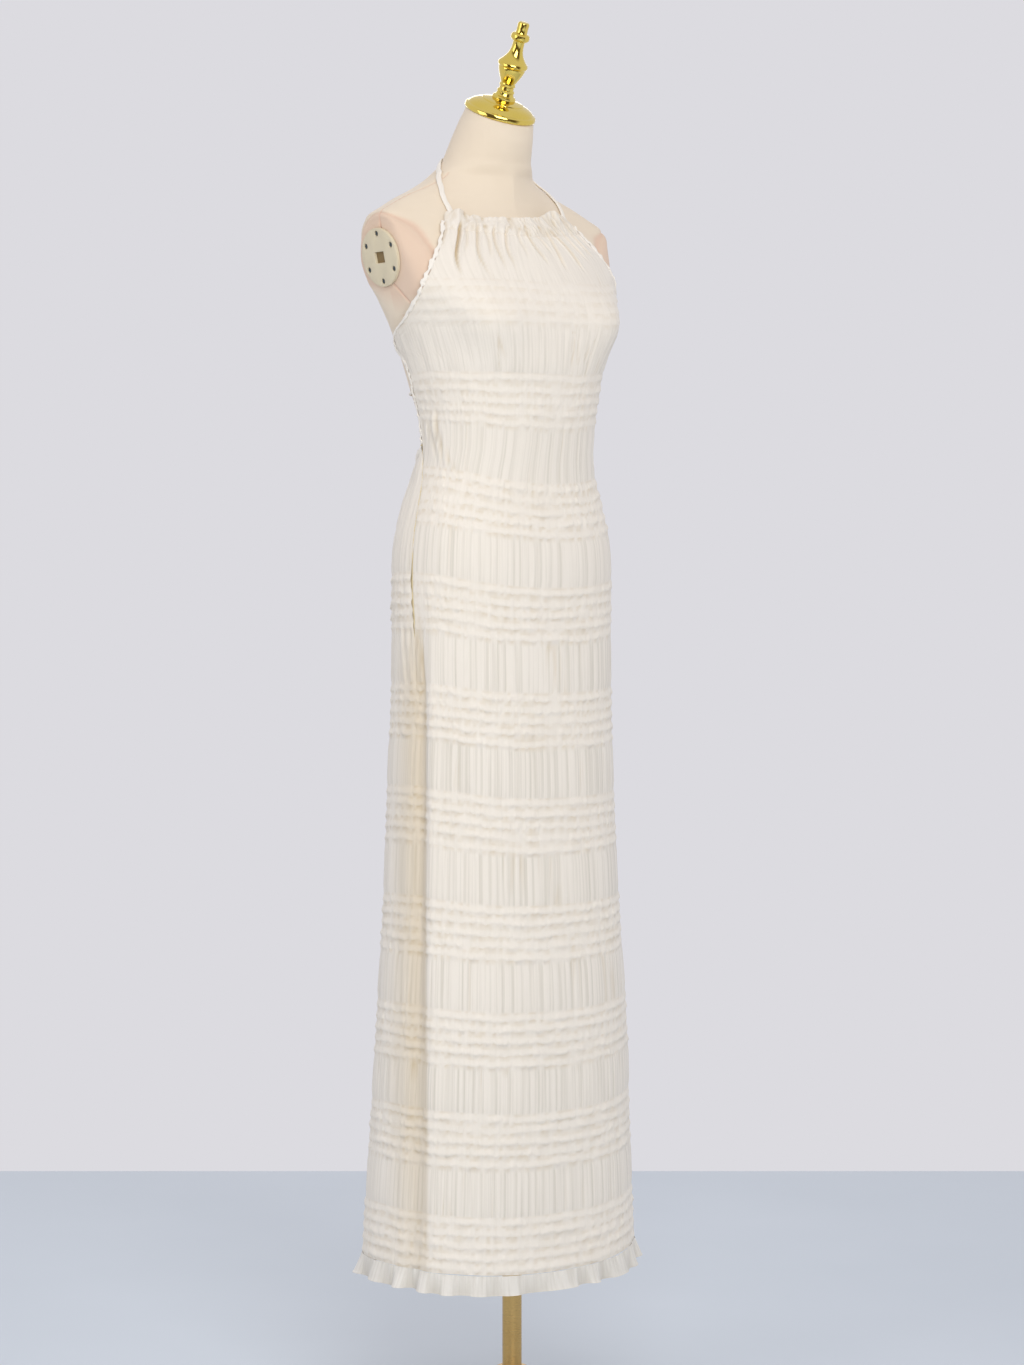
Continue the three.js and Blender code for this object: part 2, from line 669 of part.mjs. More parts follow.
// Narrow bindings along the armholes and the open back's sides, from the casing to the waist.
const bindingLevels = frontRings.map((ring) => ring.z).filter((z) => z > WAIST_Z + 4);
bindingLevels.push(WAIST_Z + SEAM_GAP / 2);
for (const [side, name] of [
  [-1, "binding_right"],
  [1, "binding_left"],
]) {
  const strip = (out) =>
    bindingLevels.map((z) => {
      const reach = edgeAt(z).reach;
      return [0, 1, 2].map((k) => {
        const t = side * (reach + degreesFor(SEAM_GAP / 2 + (k * BINDING_WIDTH) / 2, side * reach, z));
        return dressPoint(t, z, out * (k === 1 ? 1 : 0.75));
      });
    });
  add(name, wall(strip(BINDING_THICK), strip(0)), finish.binding);
}

// The zip in the right side seam, set back a little from the cloth.
const zipRings = frontRings.filter((ring) => ring.z < WAIST_Z - 4 && ring.z > ZIP_FOOT_Z + 8);
zipRings.unshift({ z: WAIST_Z - SEAM_GAP / 2 });
const zipPoint = (z, k, out) => {
  const reach = edgeAt(z).reach;
  const across = SEAM_GAP / 2 + k * (slit(z) * (ZIP_WIDTH / (ZIP_WIDTH + SEAM_GAP)));
  return dressPoint(-(reach + degreesFor(across, -reach, z)), z, out);
};
const zipSide = (out) => (ring) => [0, 1].map((k) => zipPoint(ring.z, k, out));
add("side_zip", wall(zipRings.map(zipSide(1.2)), innerSide(zipRings, zipSide(0))), finish.zip);

// The halter strap rests on the form: from the casing's ends up the slope of the shoulders and round the back of the neck.
const strapAt = table(
  ["z", "level"],
  [
    [44, 1541],
    [48, 1547],
    [55, 1556],
    [64, 1567],
    [76, 1579],
    [92, 1591],
    [110, 1600],
    [128, 1606],
    [180, 1611],
  ],
);
const REST = 0.9; // how close the strap and the cords lie on the form
const HALF_COLUMN = 180 / TORSO_COLUMNS;
const strapStart = edgeAt(CASING_TOP_Z).reach + 0.6;
const strapStations = [strapStart];
for (let t = 8 * HALF_COLUMN; t <= 360 - 8 * HALF_COLUMN; t += HALF_COLUMN) strapStations.push(t);
strapStations.push(360 - strapStart);
const strapRings = strapStations.map((t) => {
  const z = strapAt(Math.min(t, 360 - t)).level;
  const corner = (up, out) => onForm(t, z + (up * STRAP_WIDTH) / 2, REST + out);
  return [corner(-1, 0), corner(1, 0), corner(1, STRAP_THICK), corner(-1, STRAP_THICK)];
});
add("halter_strap", loft(strapRings), finish.binding);

// Two cords over the open back, from binding to binding.
for (const [name, z] of [
  ["back_cord_upper", 1368],
  ["back_cord_lower", 1309],
]) {
  const reach = edgeAt(z).reach;
  const start = reach + degreesFor(3 * SEAM_GAP + BINDING_WIDTH, reach, z) + 0.7;
  const stations = 16;
  const rings = Array.from({ length: stations + 1 }, (_, k) => {
    const t = start + ((360 - 2 * start) * k) / stations;
    const corner = (up, out) => onForm(t, z + (up * BACK_CORD) / 2, REST + 0.7 + out * BACK_CORD);
    return [corner(-1, 0), corner(1, 0), corner(1, 0.7), corner(0, 1), corner(-1, 0.7)];
  });
  add(name, loft(rings), finish.binding);
}

export default part;
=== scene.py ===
import math

import bmesh
import bpy
import numpy as np
from mathutils import Matrix


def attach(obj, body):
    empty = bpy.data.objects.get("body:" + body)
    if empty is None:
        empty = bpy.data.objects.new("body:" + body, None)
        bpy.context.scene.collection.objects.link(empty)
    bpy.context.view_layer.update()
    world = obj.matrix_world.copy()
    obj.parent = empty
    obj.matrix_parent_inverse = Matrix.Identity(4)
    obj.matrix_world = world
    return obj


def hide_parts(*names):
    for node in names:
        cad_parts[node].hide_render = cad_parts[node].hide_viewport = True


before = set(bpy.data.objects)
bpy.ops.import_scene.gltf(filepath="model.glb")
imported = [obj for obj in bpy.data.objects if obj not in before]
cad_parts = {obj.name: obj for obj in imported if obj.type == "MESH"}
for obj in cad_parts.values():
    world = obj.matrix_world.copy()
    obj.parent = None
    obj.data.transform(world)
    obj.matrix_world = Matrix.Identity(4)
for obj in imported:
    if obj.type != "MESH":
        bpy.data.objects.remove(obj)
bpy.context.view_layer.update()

# View: the camera stands at the form's front right, level with the hips, and looks very slightly down.
# A big soft lamp on the camera's right gives the quiet modelling of a photo studio.
CAMERA_AZIMUTH, CAMERA_PITCH = -38.03, 2.24
CAMERA_DISTANCE, CAMERA_HEIGHT, LAMP_AIM = 3.96, 1.095, 1.25


def new_object(name, data):
    """Makes an object of its data, in the scene."""
    made = bpy.data.objects.new(name, data)
    bpy.context.scene.collection.objects.link(made)
    return made


def linear(colour):
    """An sRGB hex colour as linear red, green, blue and alpha."""
    parts = [int(colour[k : k + 2], 16) / 255 for k in (1, 3, 5)]
    return [c / 12.92 if c <= 0.04045 else ((c + 0.055) / 1.055) ** 2.4 for c in parts] + [1.0]


def set_sockets(node, sockets):
    """Fills a node's inputs: each is a constant, or is linked to an output or to a node's first output."""
    for socket, value in sockets.items():
        if isinstance(value, bpy.types.Node):
            value = value.outputs[0]
        if isinstance(value, bpy.types.NodeSocket):
            node.id_data.links.new(value, node.inputs[socket])
        else:
            node.inputs[socket].default_value = value


def add_node(tree, kind, sockets=None, **settings):
    """Adds one shader node, of the kind named after ShaderNode, with its properties and its inputs."""
    made = tree.nodes.new("ShaderNode" + kind)
    for name, value in settings.items():
        setattr(made, name, value)
    set_sockets(made, sockets or {})
    return made


bearing = math.radians(CAMERA_AZIMUTH)
lens = bpy.data.cameras.new("studio_camera")
lens.lens = 81.5
lens.sensor_width = 36
camera = new_object("studio_camera", lens)
camera.location = (CAMERA_DISTANCE * math.sin(bearing), -CAMERA_DISTANCE * math.cos(bearing), CAMERA_HEIGHT)
camera.rotation_euler = (math.radians(90 - CAMERA_PITCH), 0, bearing)
bpy.context.scene.camera = camera
bpy.context.scene.view_settings.view_transform = "Standard"

# The studio is pale all round. Its darker near end shows only in the gloss of the gold and the brass.
studio = bpy.data.worlds.new("pale_studio_wall")
studio.use_nodes = True
tree = studio.node_tree
looking = add_node(tree, "TexCoord").outputs["Generated"]
near_end = {0: looking, 1: (math.sin(bearing), -math.cos(bearing), 0)}
facing = add_node(tree, "VectorMath", near_end, operation="DOT_PRODUCT")
behind = add_node(tree, "MapRange", {"Value": facing.outputs["Value"], "From Min": 0.25, "From Max": 0.55})
height = add_node(tree, "SeparateXYZ", {0: looking})
fade = {"Value": height.outputs["Z"], "From Min": 0.35, "From Max": 0.6, "To Min": 1.0, "To Max": 0.0}
low = add_node(tree, "MapRange", fade)
share = add_node(tree, "Math", {0: behind, 1: low}, operation="MULTIPLY")
ray = add_node(tree, "LightPath")
gloss_only = add_node(tree, "Math", {0: 1.0, 1: ray.outputs["Is Camera Ray"]}, operation="SUBTRACT")
dark = add_node(tree, "Math", {0: share, 1: gloss_only}, operation="MULTIPLY")
wall = add_node(tree, "Mix", {0: dark, 6: linear("#DCDBE0"), 7: linear("#5E5348")}, data_type="RGBA")
set_sockets(tree.nodes["Background"], {"Color": wall.outputs[2]})
bpy.context.scene.world = studio

for name, azimuth, height, distance, side, power in (
    ("soft_lamp_key", -27, 2.05, 2.9, 1.9, 58),
    ("soft_lamp_left", -92, 1.9, 3.4, 1.8, 18),
    ("soft_lamp_behind", 150, 2.4, 3.4, 1.8, 16),
):
    # Each lamp looks at the form's bust line from its place round it.
    lamp = bpy.data.lights.new(name, "AREA")
    lamp.shape = "SQUARE"
    lamp.size = side
    lamp.energy = power
    holder = new_object(name, lamp)
    turn = math.radians(azimuth)
    holder.location = (distance * math.sin(turn), -distance * math.cos(turn), height)
    holder.rotation_euler = (math.radians(90) - math.atan2(height - LAMP_AIM, distance), 0, turn)

# Floor: a plain pale studio floor of painted board that ends at the wall behind the form.
# It is square to the camera, so that its far edge is a level line.
FLOOR_BEHIND, FLOOR_FRONT, FLOOR_HALF, FLOOR_DROP = 1.56, 3.2, 2.4, 0.0005


def start_material(name):
    """A new material, its node tree and its main shader."""
    material = bpy.data.materials.new(name)
    material.use_nodes = True
    return material, material.node_tree, material.node_tree.nodes["Principled BSDF"]


def finish_mesh(name, bm):
    """Makes a mesh of a bmesh and frees it."""
    mesh = bpy.data.meshes.new(name)
    bm.to_mesh(mesh)
    bm.free()
    return mesh


painted_board, tree, principled = start_material("painted_floor_board")  # matt, with a faint mottle of wear
where = add_node(tree, "TexCoord").outputs["Object"]
mottle = add_node(tree, "TexNoise", {"Vector": where, "Scale": 2.2, "Detail": 3.0})
tint = add_node(tree, "Mix", {0: mottle, 6: linear("#C6CED6"), 7: linear("#CED5DD")}, data_type="RGBA")
set_sockets(principled, {"Base Color": tint.outputs[2], "Roughness": 0.6})
bm = bmesh.new()
bmesh.ops.create_grid(bm, x_segments=1, y_segments=1, size=1)
for corner in bm.verts:
    across = corner.co.x * FLOOR_HALF
    along = FLOOR_BEHIND if corner.co.y > 0 else -FLOOR_FRONT
    corner.co = (
        across * math.cos(bearing) - along * math.sin(bearing),
        across * math.sin(bearing) + along * math.cos(bearing),
        -FLOOR_DROP,
    )
floor = new_object("floor", finish_mesh("floor", bm))
floor.data.materials.append(painted_board)

# Torso: a padded shell under tightly stretched beige jersey, seamed at the sides and round the shoulder ends.
# Its sections are read smoothly from measured heights; the shoulder ends are cut flat for arms.
# Sizes of the form and the dress are in millimetres here, and become metres when a mesh is made.
MM = 0.001
JERSEY_SECTIONS = [
    # z, half width, y of the front, of the back and of the widest point, how square front and rear are, tilt
    (905, 134, -66, 108, 20, 2.3, 2.3, 0),
    (935, 141, -74, 114, 19, 2.3, 2.3, 0),
    (985, 145, -79, 119, 19, 2.3, 2.3, 0),
    (1048, 146, -81, 121, 18.5, 2.3, 2.3, 0),
    (1091, 145, -80, 121, 18.5, 2.3, 2.3, 0),
    (1130, 141, -76, 118, 18.5, 2.3, 2.3, 0),
    (1166, 132, -69, 113, 18, 2.3, 2.3, 0),
    (1205, 120, -62, 104, 17, 2.25, 2.25, 0),
    (1241, 114, -60, 98, 16, 2.2, 2.2, 0),
    (1279, 117, -61, 104, 17, 2.2, 2.2, 0),
    (1316, 125, -66, 117, 20, 2.2, 2.2, 0),
    (1354, 135, -75, 126, 24, 2.2, 2.2, 0),
    (1391, 149, -85, 133, 28, 2.2, 2.2, 0),
    (1429, 166, -80, 137, 36, 2.2, 2.3, 0),
    (1450, 175, -68, 140, 42, 2.1, 2.5, 0),
    (1481, 181, -49, 141, 46, 1.9, 2.8, 0),
    (1511, 181, -29, 137, 46, 1.55, 2.8, 0),
    (1530, 175, -15, 129, 46, 1.35, 2.8, 0),
    (1544, 154, -8, 126, 46, 1.3, 2.7, 0),
    (1556, 133, -5, 124, 47, 1.25, 2.7, 0),
    (1567, 110, -4, 122, 50, 1.25, 2.6, 0),
    (1586, 77, -3, 118, 54, 1.35, 2.4, 2),
    (1606, 58, -4, 109, 53, 2, 2, 6),
    (1628, 52, -9, 96, 43.5, 2, 2, 14),
    (1648, 48, -13.5, 81, 34, 2, 2, 20),
    (1667, 45, -14.5, 66.5, 26, 2, 2, 25),
]
ARM_X, ARM_Y, ARM_Z, ARM_LEAN = 166, 47, 1473, 12
SHOULDER_EDGE = 5
ARM_SEAM = [
    # degrees from straight up towards the front, distance of the armhole seam from the arm plate's centre
    (-180, 57), (-60, 57), (0, 58.5), (20, 58), (37, 56), (50, 54.6), (60, 55), (70, 57), (84, 63), (100, 74),
    (125, 84), (142, 80), (158, 72), (180, 66),
]
# Each mound: degrees from the centre front, its spread, its height, and its spread above and below that.
CUP, SHOULDER, CUP_SIDE = (34, 18, 1396, 36, 44), (74, 17, 1512, 38, 48), (60, 22, 1385, 50, 60)
CUP_RISE, SHOULDER_RISE, BUST_HOLLOW = 15, 14, 3.5
SEAM_DEPTH, SEAM_RIM = 1.5, 1.1
WELD = 5e-5


def ramp(x):
    """x kept between 0 and 1."""
    return np.clip(x, 0, 1)


def bell(x):
    """1 at 0, falling off smoothly on both sides."""
    return np.exp(-(x**2))


def table(names, rows):
    """Reads rows of sizes smoothly at any height, without overshooting them."""
    data = np.array(sorted(rows), float)
    heights = data[:, 0]
    steps = np.diff(data, axis=0)
    slopes = steps / steps[:, :1]
    product = slopes[:-1] * slopes[1:]
    total = slopes[:-1] + slopes[1:]
    inner = np.where(product > 0, 2 * product / np.where(total == 0, 1, total), 0)
    tangents = np.vstack([np.zeros_like(inner[:1]), inner, np.zeros_like(inner[:1])])

    def at(z):
        z = np.clip(np.asarray(z, float), heights[0], heights[-1])
        i = np.clip(np.searchsorted(heights, z) - 1, 0, len(heights) - 2)
        span = heights[i + 1] - heights[i]
        u = (z - heights[i]) / span
        found = {}
        for k, name in enumerate(names):
            rise = data[i + 1, k] - data[i, k]
            first, last = tangents[i, k] * span, tangents[i + 1, k] * span
            found[name] = data[i, k] + u * (first + u * (3 * rise - 2 * first - last + u * (first + last - 2 * rise)))
        return found

    return at


def mound(angle, spread, height, above, below, t, z):
    """A soft mound on both sides of the front, 1 at its top."""
    across = (np.abs(t) - angle) / spread
    along = (z - height) / np.where(z > height, above, below)
    return np.exp(-(across**2) - along**2)


def section_point(row, t, out):
    """A point of a section, t degrees round from the centre front, moved out along the section's own normal."""

    def at(angle):
        s, c = np.sin(np.radians(angle)), np.cos(np.radians(angle))
        power = 2 / np.where(c > 0, row["square"], row["rear"])
        depth = np.where(c > 0, row["mid"] - row["front"], row["back"] - row["mid"])
        x = row["half"] * np.sign(s) * np.abs(s) ** power
        return x, row["mid"] - depth * np.sign(c) * np.abs(c) ** power

    x, y = at(t)
    x0, y0 = at(t - 2.5)
    x1, y1 = at(t + 2.5)
    length = np.hypot(x1 - x0, y1 - y0)
    return x + out * (y1 - y0) / length, y - out * (x1 - x0) / length


def round_front(t):
    """An angle as -180 to 180 degrees from the centre front."""
    return (np.asarray(t, float) + 180) % 360 - 180


def noise(a, b, seed):
    """Smooth uneven numbers from -1 to 1, with one cell to a unit of a and of b."""
    i, j = np.floor(a), np.floor(b)
    fa, fb = a - i, b - j
    fa, fb = fa * fa * (3 - 2 * fa), fb * fb * (3 - 2 * fb)

    def corner(p, q):
        wave = np.sin(p * 12.9898 + q * 78.233 + seed * 37.719) * 43758.5453
        return wave - np.floor(wave)

    low = corner(i, j) * (1 - fa) + corner(i + 1, j) * fa
    high = corner(i, j + 1) * (1 - fa) + corner(i + 1, j + 1) * fa
    return 2 * (low * (1 - fb) + high * fb) - 1


jersey_at = table(("z", "half", "front", "back", "mid", "square", "rear", "tilt"), JERSEY_SECTIONS)


def torso_point(t, z, out=0.0):
    """Points of the torso's surface in millimetres."""
    t = round_front(t)
    row = jersey_at(z)
    rise = CUP_RISE * mound(*CUP, t, z) + SHOULDER_RISE * mound(*SHOULDER, t, z)
    x, y = section_point(row, t, rise + out - BUST_HOLLOW * mound(*CUP_SIDE, t, z))
    limit = ARM_X + (z - ARM_Z) * math.tan(math.radians(ARM_LEAN)) + out
    over = (np.abs(x) - limit) / SHOULDER_EDGE
    x = np.sign(x) * (np.abs(x) - SHOULDER_EDGE * np.logaddexp(0, over))
    return np.stack([x, y, z + (y - row["mid"]) * np.tan(np.radians(row["tilt"]))], -1)


def surface_piece(name, across, along, place, size, closed=False):
    """A grid, u across and v down from 0 to 1, with UVs in metres.

    place(u, v) gives its points in millimetres, how deep each is in folds and creases as the strength of its painted
    shade (on the torso, also how doubled its jersey is), its place across the cloth in millimetres, or None for an
    even run, and how strongly the cloth's fine gathered lines and their painted shade show there.
    """
    bm = bmesh.new()
    bm.loops.layers.uv.new("cloth")
    bmesh.ops.create_grid(bm, x_segments=across, y_segments=along, size=0.5, calc_uvs=True)
    mesh = finish_mesh(name, bm)
    flat = np.empty(len(mesh.vertices) * 3)
    mesh.vertices.foreach_get("co", flat)
    u, v = flat[0::3] + 0.5, 0.5 - flat[1::3]
    points, folds, run, lines = place(u, v)
    mesh.vertices.foreach_set("co", (points * MM).astype(np.float32).ravel())
    uvs = np.empty(len(mesh.loops) * 2, np.float32)
    mesh.uv_layers["cloth"].data.foreach_get("uv", uvs)
    uvs[0::2] *= size[0]
    uvs[1::2] *= size[1]
    if run is not None:
        corners = np.empty(len(mesh.loops), np.int32)
        mesh.loops.foreach_get("vertex_index", corners)
        uvs[0::2] = run[corners] * MM
    mesh.uv_layers["cloth"].data.foreach_set("uv", uvs)
    # The first attribute is painted shade in folds, creases and seams (on the torso, also the doubled jersey).
    for layer, values in (("fold_shade", folds), ("lined", lines)):
        values = np.zeros(len(u)) + values
        mesh.attributes.new(layer, "FLOAT", "POINT").data.foreach_set("value", values.astype(np.float32))
    if closed:
        bm = bmesh.new()
        bm.from_mesh(mesh)
        bmesh.ops.remove_doubles(bm, verts=bm.verts, dist=WELD)
        bmesh.ops.holes_fill(bm, edges=[e for e in bm.edges if e.is_boundary], sides=0)
        bm.to_mesh(mesh)
        bm.free()
    return finish_piece(name, mesh)


def finish_piece(name, mesh, sharp=None):
    """Links a mesh as a smooth piece that rides on the one body."""
    mesh.shade_smooth()
    if sharp:
        mesh.set_sharp_from_angle(angle=math.radians(sharp))
    made = new_object(name, mesh)
    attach(made, "root")
    return made


def clothe(piece, material, node):
    """Gives a piece its material, and hides the CAD node that it stands for."""
    piece.data.materials.append(material)
    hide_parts(node)


def place_torso(u, v):
    # The grid is finest on the shoulders, where the seams show.
    z = np.interp(v, [0, 0.14, 0.8, 1], [1667, 1600, 1395, 905])
    t = np.interp(u, [0, 0.08, 0.44, 0.56, 0.92, 1], [-180, -120, -40, 40, 120, 180])
    x, y, height = torso_point(t, z).T
    away = np.hypot(y - ARM_Y, height - ARM_Z)
    near = np.abs(x) > 108
    toward_front = np.degrees(np.arctan2(ARM_Y - y, height - ARM_Z))
    wavy = np.interp(toward_front, *zip(*ARM_SEAM))
    groove = bell((away - wavy) / 1.6) * near
    rim = bell((away - wavy + 4) / 3.0) * near
    # Below the plate the doubled jersey ends softly, without a seam that shows.
    soft = ramp((np.abs(toward_front) - 120) / 22)
    groove, rim = groove * (1 - soft), rim * (1 - soft)
    doubled = near * ramp((wavy - away) / (3 + 22 * soft))
    # Under the plate a short seam runs down and forward to the armhole, and the shoulder's seam runs along its top.
    off_line = (y - 34.5) * 27 - (height - 1441) * 28
    dart = bell(off_line / 39 / 1.4) * near * (z < 1443) * (y < 38)
    top_seam = bell((y - 44) / 1.5) * ramp((z - 1505) / 8) * (z < 1590)
    gather = top_seam * (0.5 + 0.5 * np.sin(0.9 * x)) * (np.abs(x) > 128)
    side_seam = bell((np.abs(round_front(t)) - 90) / 0.7) * (z < 1405)
    dents = groove + 0.8 * dart + 0.6 * top_seam + 0.5 * side_seam + gather
    points = torso_point(t, z, SEAM_RIM * rim - SEAM_DEPTH * dents)
    # The jersey is pinker where doubled, its own colour, and in the seams' grooves and small gathers, as painted
    # shade.
    return points, ramp(0.5 * doubled + 0.6 * dents), None, 0.0


# Its pink tint is the doubled jersey's own colour, and painted shade in the seams' grooves and gathers.
stretched_jersey, tree, principled = start_material("stretched_cotton_jersey")  # knitted, matt, pinker where doubled
where = add_node(tree, "TexCoord").outputs["Object"]
doubled = add_node(tree, "Attribute", attribute_name="fold_shade")
shade = add_node(tree, "TexNoise", {"Vector": where, "Scale": 9.0, "Detail": 4.0})
beige = add_node(tree, "Mix", {0: shade, 6: linear("#E5D5BE"), 7: linear("#ECDEC9")}, data_type="RGBA")
pinks = {0: doubled.outputs["Fac"], 6: beige.outputs[2], 7: linear("#DDB79F")}
pinker = add_node(tree, "Mix", pinks, data_type="RGBA")
# The real knit is near 0.6 mm; it is drawn 0.9 mm high and 1.4 mm wide, so that it shows.
rows = add_node(tree, "Mapping", {"Vector": where, "Scale": (700, 700, 1100)})
knit = add_node(tree, "TexNoise", {"Vector": rows, "Scale": 1.0, "Detail": 2.0})
loops = add_node(tree, "Bump", {"Height": knit, "Distance": 0.0003, "Strength": 0.25})
set_sockets(principled, {"Base Color": pinker.outputs[2], "Normal": loops, "Roughness": 0.85, "Sheen Weight": 0.15})

torso = surface_piece("padded_torso", 330, 260, place_torso, (0.86, 0.76), closed=True)
clothe(torso, stretched_jersey, "form_torso")

# Arm plates: round moulded plates screwed on the flat shoulder ends, each with six holes and a slot for an arm's lug.
# They lean in at the foot with the shoulder ends.
PLATE_RADIUS, PLATE_THICK, HOLE_RING, HOLE_RADIUS = 37, 4, 30, 3.5
SLOT_WIDE, SLOT_TALL = 19, 14
PLATE_TURN = -2
PLATE_UP, PLATE_REAR, PLATE_OUT = 4, 4, 1.15
FLOOR_HEIGHT, HEAD_HEIGHT = 0.6, 2.2


def grained_finish(name, low, high, roughness, grain):
    """A matt, even colour with a little mottle and a fine grain, given in millimetres."""
    material, tree, principled = start_material(name)
    where = add_node(tree, "TexCoord").outputs["Object"]
    mottle = add_node(tree, "TexNoise", {"Vector": where, "Scale": 30.0, "Detail": 4.0})
    tint = add_node(tree, "Mix", {0: mottle, 6: linear(low), 7: linear(high)}, data_type="RGBA")
    fine = add_node(tree, "TexNoise", {"Vector": where, "Scale": 1 / (grain * MM)})
    bump = add_node(tree, "Bump", {"Height": fine, "Distance": 0.0002, "Strength": 0.2})
    set_sockets(principled, {"Base Color": tint.outputs[2], "Normal": bump, "Roughness": roughness})
    return material


# Moulded ABS with a fine spark grain, the raw shell seen through the slot, and the oiled black of small screws.
cream_plastic = grained_finish("moulded_cream_plastic", "#D6CAAC", "#DED3B8", 0.4, 1.2)
shaded_fibreglass = grained_finish("raw_fibreglass_in_shade", "#6E5A3C", "#9A8258", 0.8, 2.0)
blued_steel = grained_finish("blued_steel_screws", "#1E2A30", "#33434B", 0.35, 1.0)
turns = [math.radians(60 * k + PLATE_TURN) for k in range(6)]
holes = [(HOLE_RING * math.cos(turn), HOLE_RING * math.sin(turn)) for turn in turns]
for side, hand in ((-1, "right"), (1, "left")):
    bm = bmesh.new()
    bmesh.ops.create_circle(bm, radius=PLATE_RADIUS, segments=96)
    for x, y in holes:
        hole = bmesh.ops.create_circle(bm, radius=HOLE_RADIUS, segments=20)["verts"]
        bmesh.ops.translate(bm, verts=hole, vec=(x, y, 0))
    slot = bmesh.ops.create_circle(bm, radius=1, segments=4)["verts"]
    bmesh.ops.rotate(bm, verts=slot, cent=(0, 0, 0), matrix=Matrix.Rotation(math.pi / 4, 3, "Z"))
    bmesh.ops.scale(bm, verts=slot, vec=(SLOT_TALL / math.sqrt(2), SLOT_WIDE / math.sqrt(2), 1))
    bmesh.ops.triangle_fill(bm, use_beauty=True, use_dissolve=False, edges=bm.edges)
    for face in bm.faces:
        if face.normal.z < 0:
            face.normal_flip()
    top = bmesh.ops.extrude_face_region(bm, geom=bm.faces[:])["geom"]
    bmesh.ops.translate(bm, verts=[g for g in top if isinstance(g, bmesh.types.BMVert)], vec=(0, 0, PLATE_THICK))
    bmesh.ops.recalc_face_normals(bm, faces=bm.faces)
    corners = [e for e in bm.edges if len(e.link_faces) == 2 and e.calc_face_angle(0) > 0.9]
    rims = [e for e in corners if min(v.co.z for v in e.verts) > 1]
    bmesh.ops.bevel(bm, geom=rims, offset=0.8, segments=2, profile=0.5, affect="EDGES", material=-1)
    # The shoulder end's shaded floor shows through the slot, and a dark screw head fills each hole.
    floor_disc = bmesh.ops.create_circle(bm, cap_ends=True, radius=PLATE_RADIUS - 2, segments=48)["verts"]
    bmesh.ops.translate(bm, verts=floor_disc, vec=(0, 0, FLOOR_HEIGHT))
    for face in {f for v in floor_disc for f in v.link_faces}:
        face.material_index = 1
    for x, y in holes:
        cone = {"radius1": HOLE_RADIUS - 0.1, "radius2": HOLE_RADIUS - 1.2, "depth": 1.6}
        head = bmesh.ops.create_cone(bm, cap_ends=True, segments=20, **cone)["verts"]
        bmesh.ops.translate(bm, verts=head, vec=(x, y, HEAD_HEIGHT))
        for face in {f for v in head for f in v.link_faces}:
            face.material_index = 2
    turn = Matrix.Rotation(side * (math.pi / 2 + math.radians(ARM_LEAN)), 3, "Y")
    bmesh.ops.rotate(bm, verts=bm.verts, cent=(0, 0, 0), matrix=turn)
    bmesh.ops.translate(bm, verts=bm.verts, vec=(side * (ARM_X + PLATE_OUT), ARM_Y + PLATE_REAR, ARM_Z + PLATE_UP))
    bmesh.ops.scale(bm, verts=bm.verts, vec=(MM, MM, MM))
    name = f"shoulder_plate_{hand}"
    plate = finish_piece(name, finish_mesh(name, bm), sharp=30)
    clothe(plate, cream_plastic, f"arm_plate_{hand}")
    plate.data.materials.append(shaded_fibreglass)
    plate.data.materials.append(blued_steel)

# Neck cap and finial: turned metal with a polished gold plating, screwed on the sloping top of the neck.
# The cap is a shallow dome with a rolled rim; the finial is a turned urn on a stem.
CAP_TILT = 25
NECK_TOP_Z = 1667
CAP_PROFILE = [
    (0, 0.3), (44, 0.3), (45.6, 0.8), (46.5, 2), (46.6, 4.8), (45.9, 6.4), (44.6, 7.4), (43.2, 7.8), (42.6, 8.6),
    (40, 11.2), (36, 13.6), (31, 15.6), (27.6, 16.6), (27, 17.6), (25.6, 18), (21, 19), (17.6, 19.6), (16, 19.8),
    (0, 19.8),
]
FINIAL_PROFILE = [
    (0, 18.5), (14.6, 18.5), (15.2, 20.6), (15.2, 23), (14.2, 24.6), (12.4, 25.4), (11.2, 27), (10.6, 29.4),
    (11.2, 30), (11.4, 31.4), (10.6, 32.6), (9.4, 33.4), (9.3, 37), (10.3, 38), (10.5, 39.4), (9.6, 40.6), (9.4, 42),
    (11.2, 45.4), (13.2, 49.6), (15.2, 54), (16.6, 58), (17.2, 61), (17, 62.2), (18.2, 63), (19.2, 64.6),
    (19.3, 66.8), (18.6, 68.6), (17, 70), (14.2, 73), (11.6, 76.6), (9.5, 80.4), (8.3, 84.4), (7.6, 89), (7.4, 95),
    (7.8, 96.6), (10, 97.4), (11.8, 99.4), (12.2, 102), (11.8, 104.6), (10, 106.4), (7.8, 107), (7.3, 108.4),
    (7.2, 113), (7.5, 118), (7, 120.2), (5.6, 121.2), (0, 121.5),
]


def turned_piece(name, profile, tilt=0.0, at=(0, 0, 0)):
    """A turned piece: its profile of radius and height is spun round the Z axis, then tilted forward and moved."""
    bm = bmesh.new()
    chain = [bm.verts.new((r, 0, z)) for r, z in profile]
    edges = [bm.edges.new(pair) for pair in zip(chain, chain[1:])]
    full_turn = {"cent": (0, 0, 0), "axis": (0, 0, 1), "angle": 2 * math.pi, "steps": 96, "use_merge": True}
    bmesh.ops.spin(bm, geom=chain + edges, **full_turn)
    bmesh.ops.remove_doubles(bm, verts=bm.verts, dist=1e-4)
    bmesh.ops.recalc_face_normals(bm, faces=bm.faces)
    turn = Matrix.Rotation(math.radians(tilt), 3, "X")
    bmesh.ops.rotate(bm, verts=bm.verts, cent=(0, 0, 0), matrix=turn)
    bmesh.ops.translate(bm, verts=bm.verts, vec=at)
    bmesh.ops.scale(bm, verts=bm.verts, vec=(MM, MM, MM))
    return finish_piece(name, finish_mesh(name, bm), sharp=28)


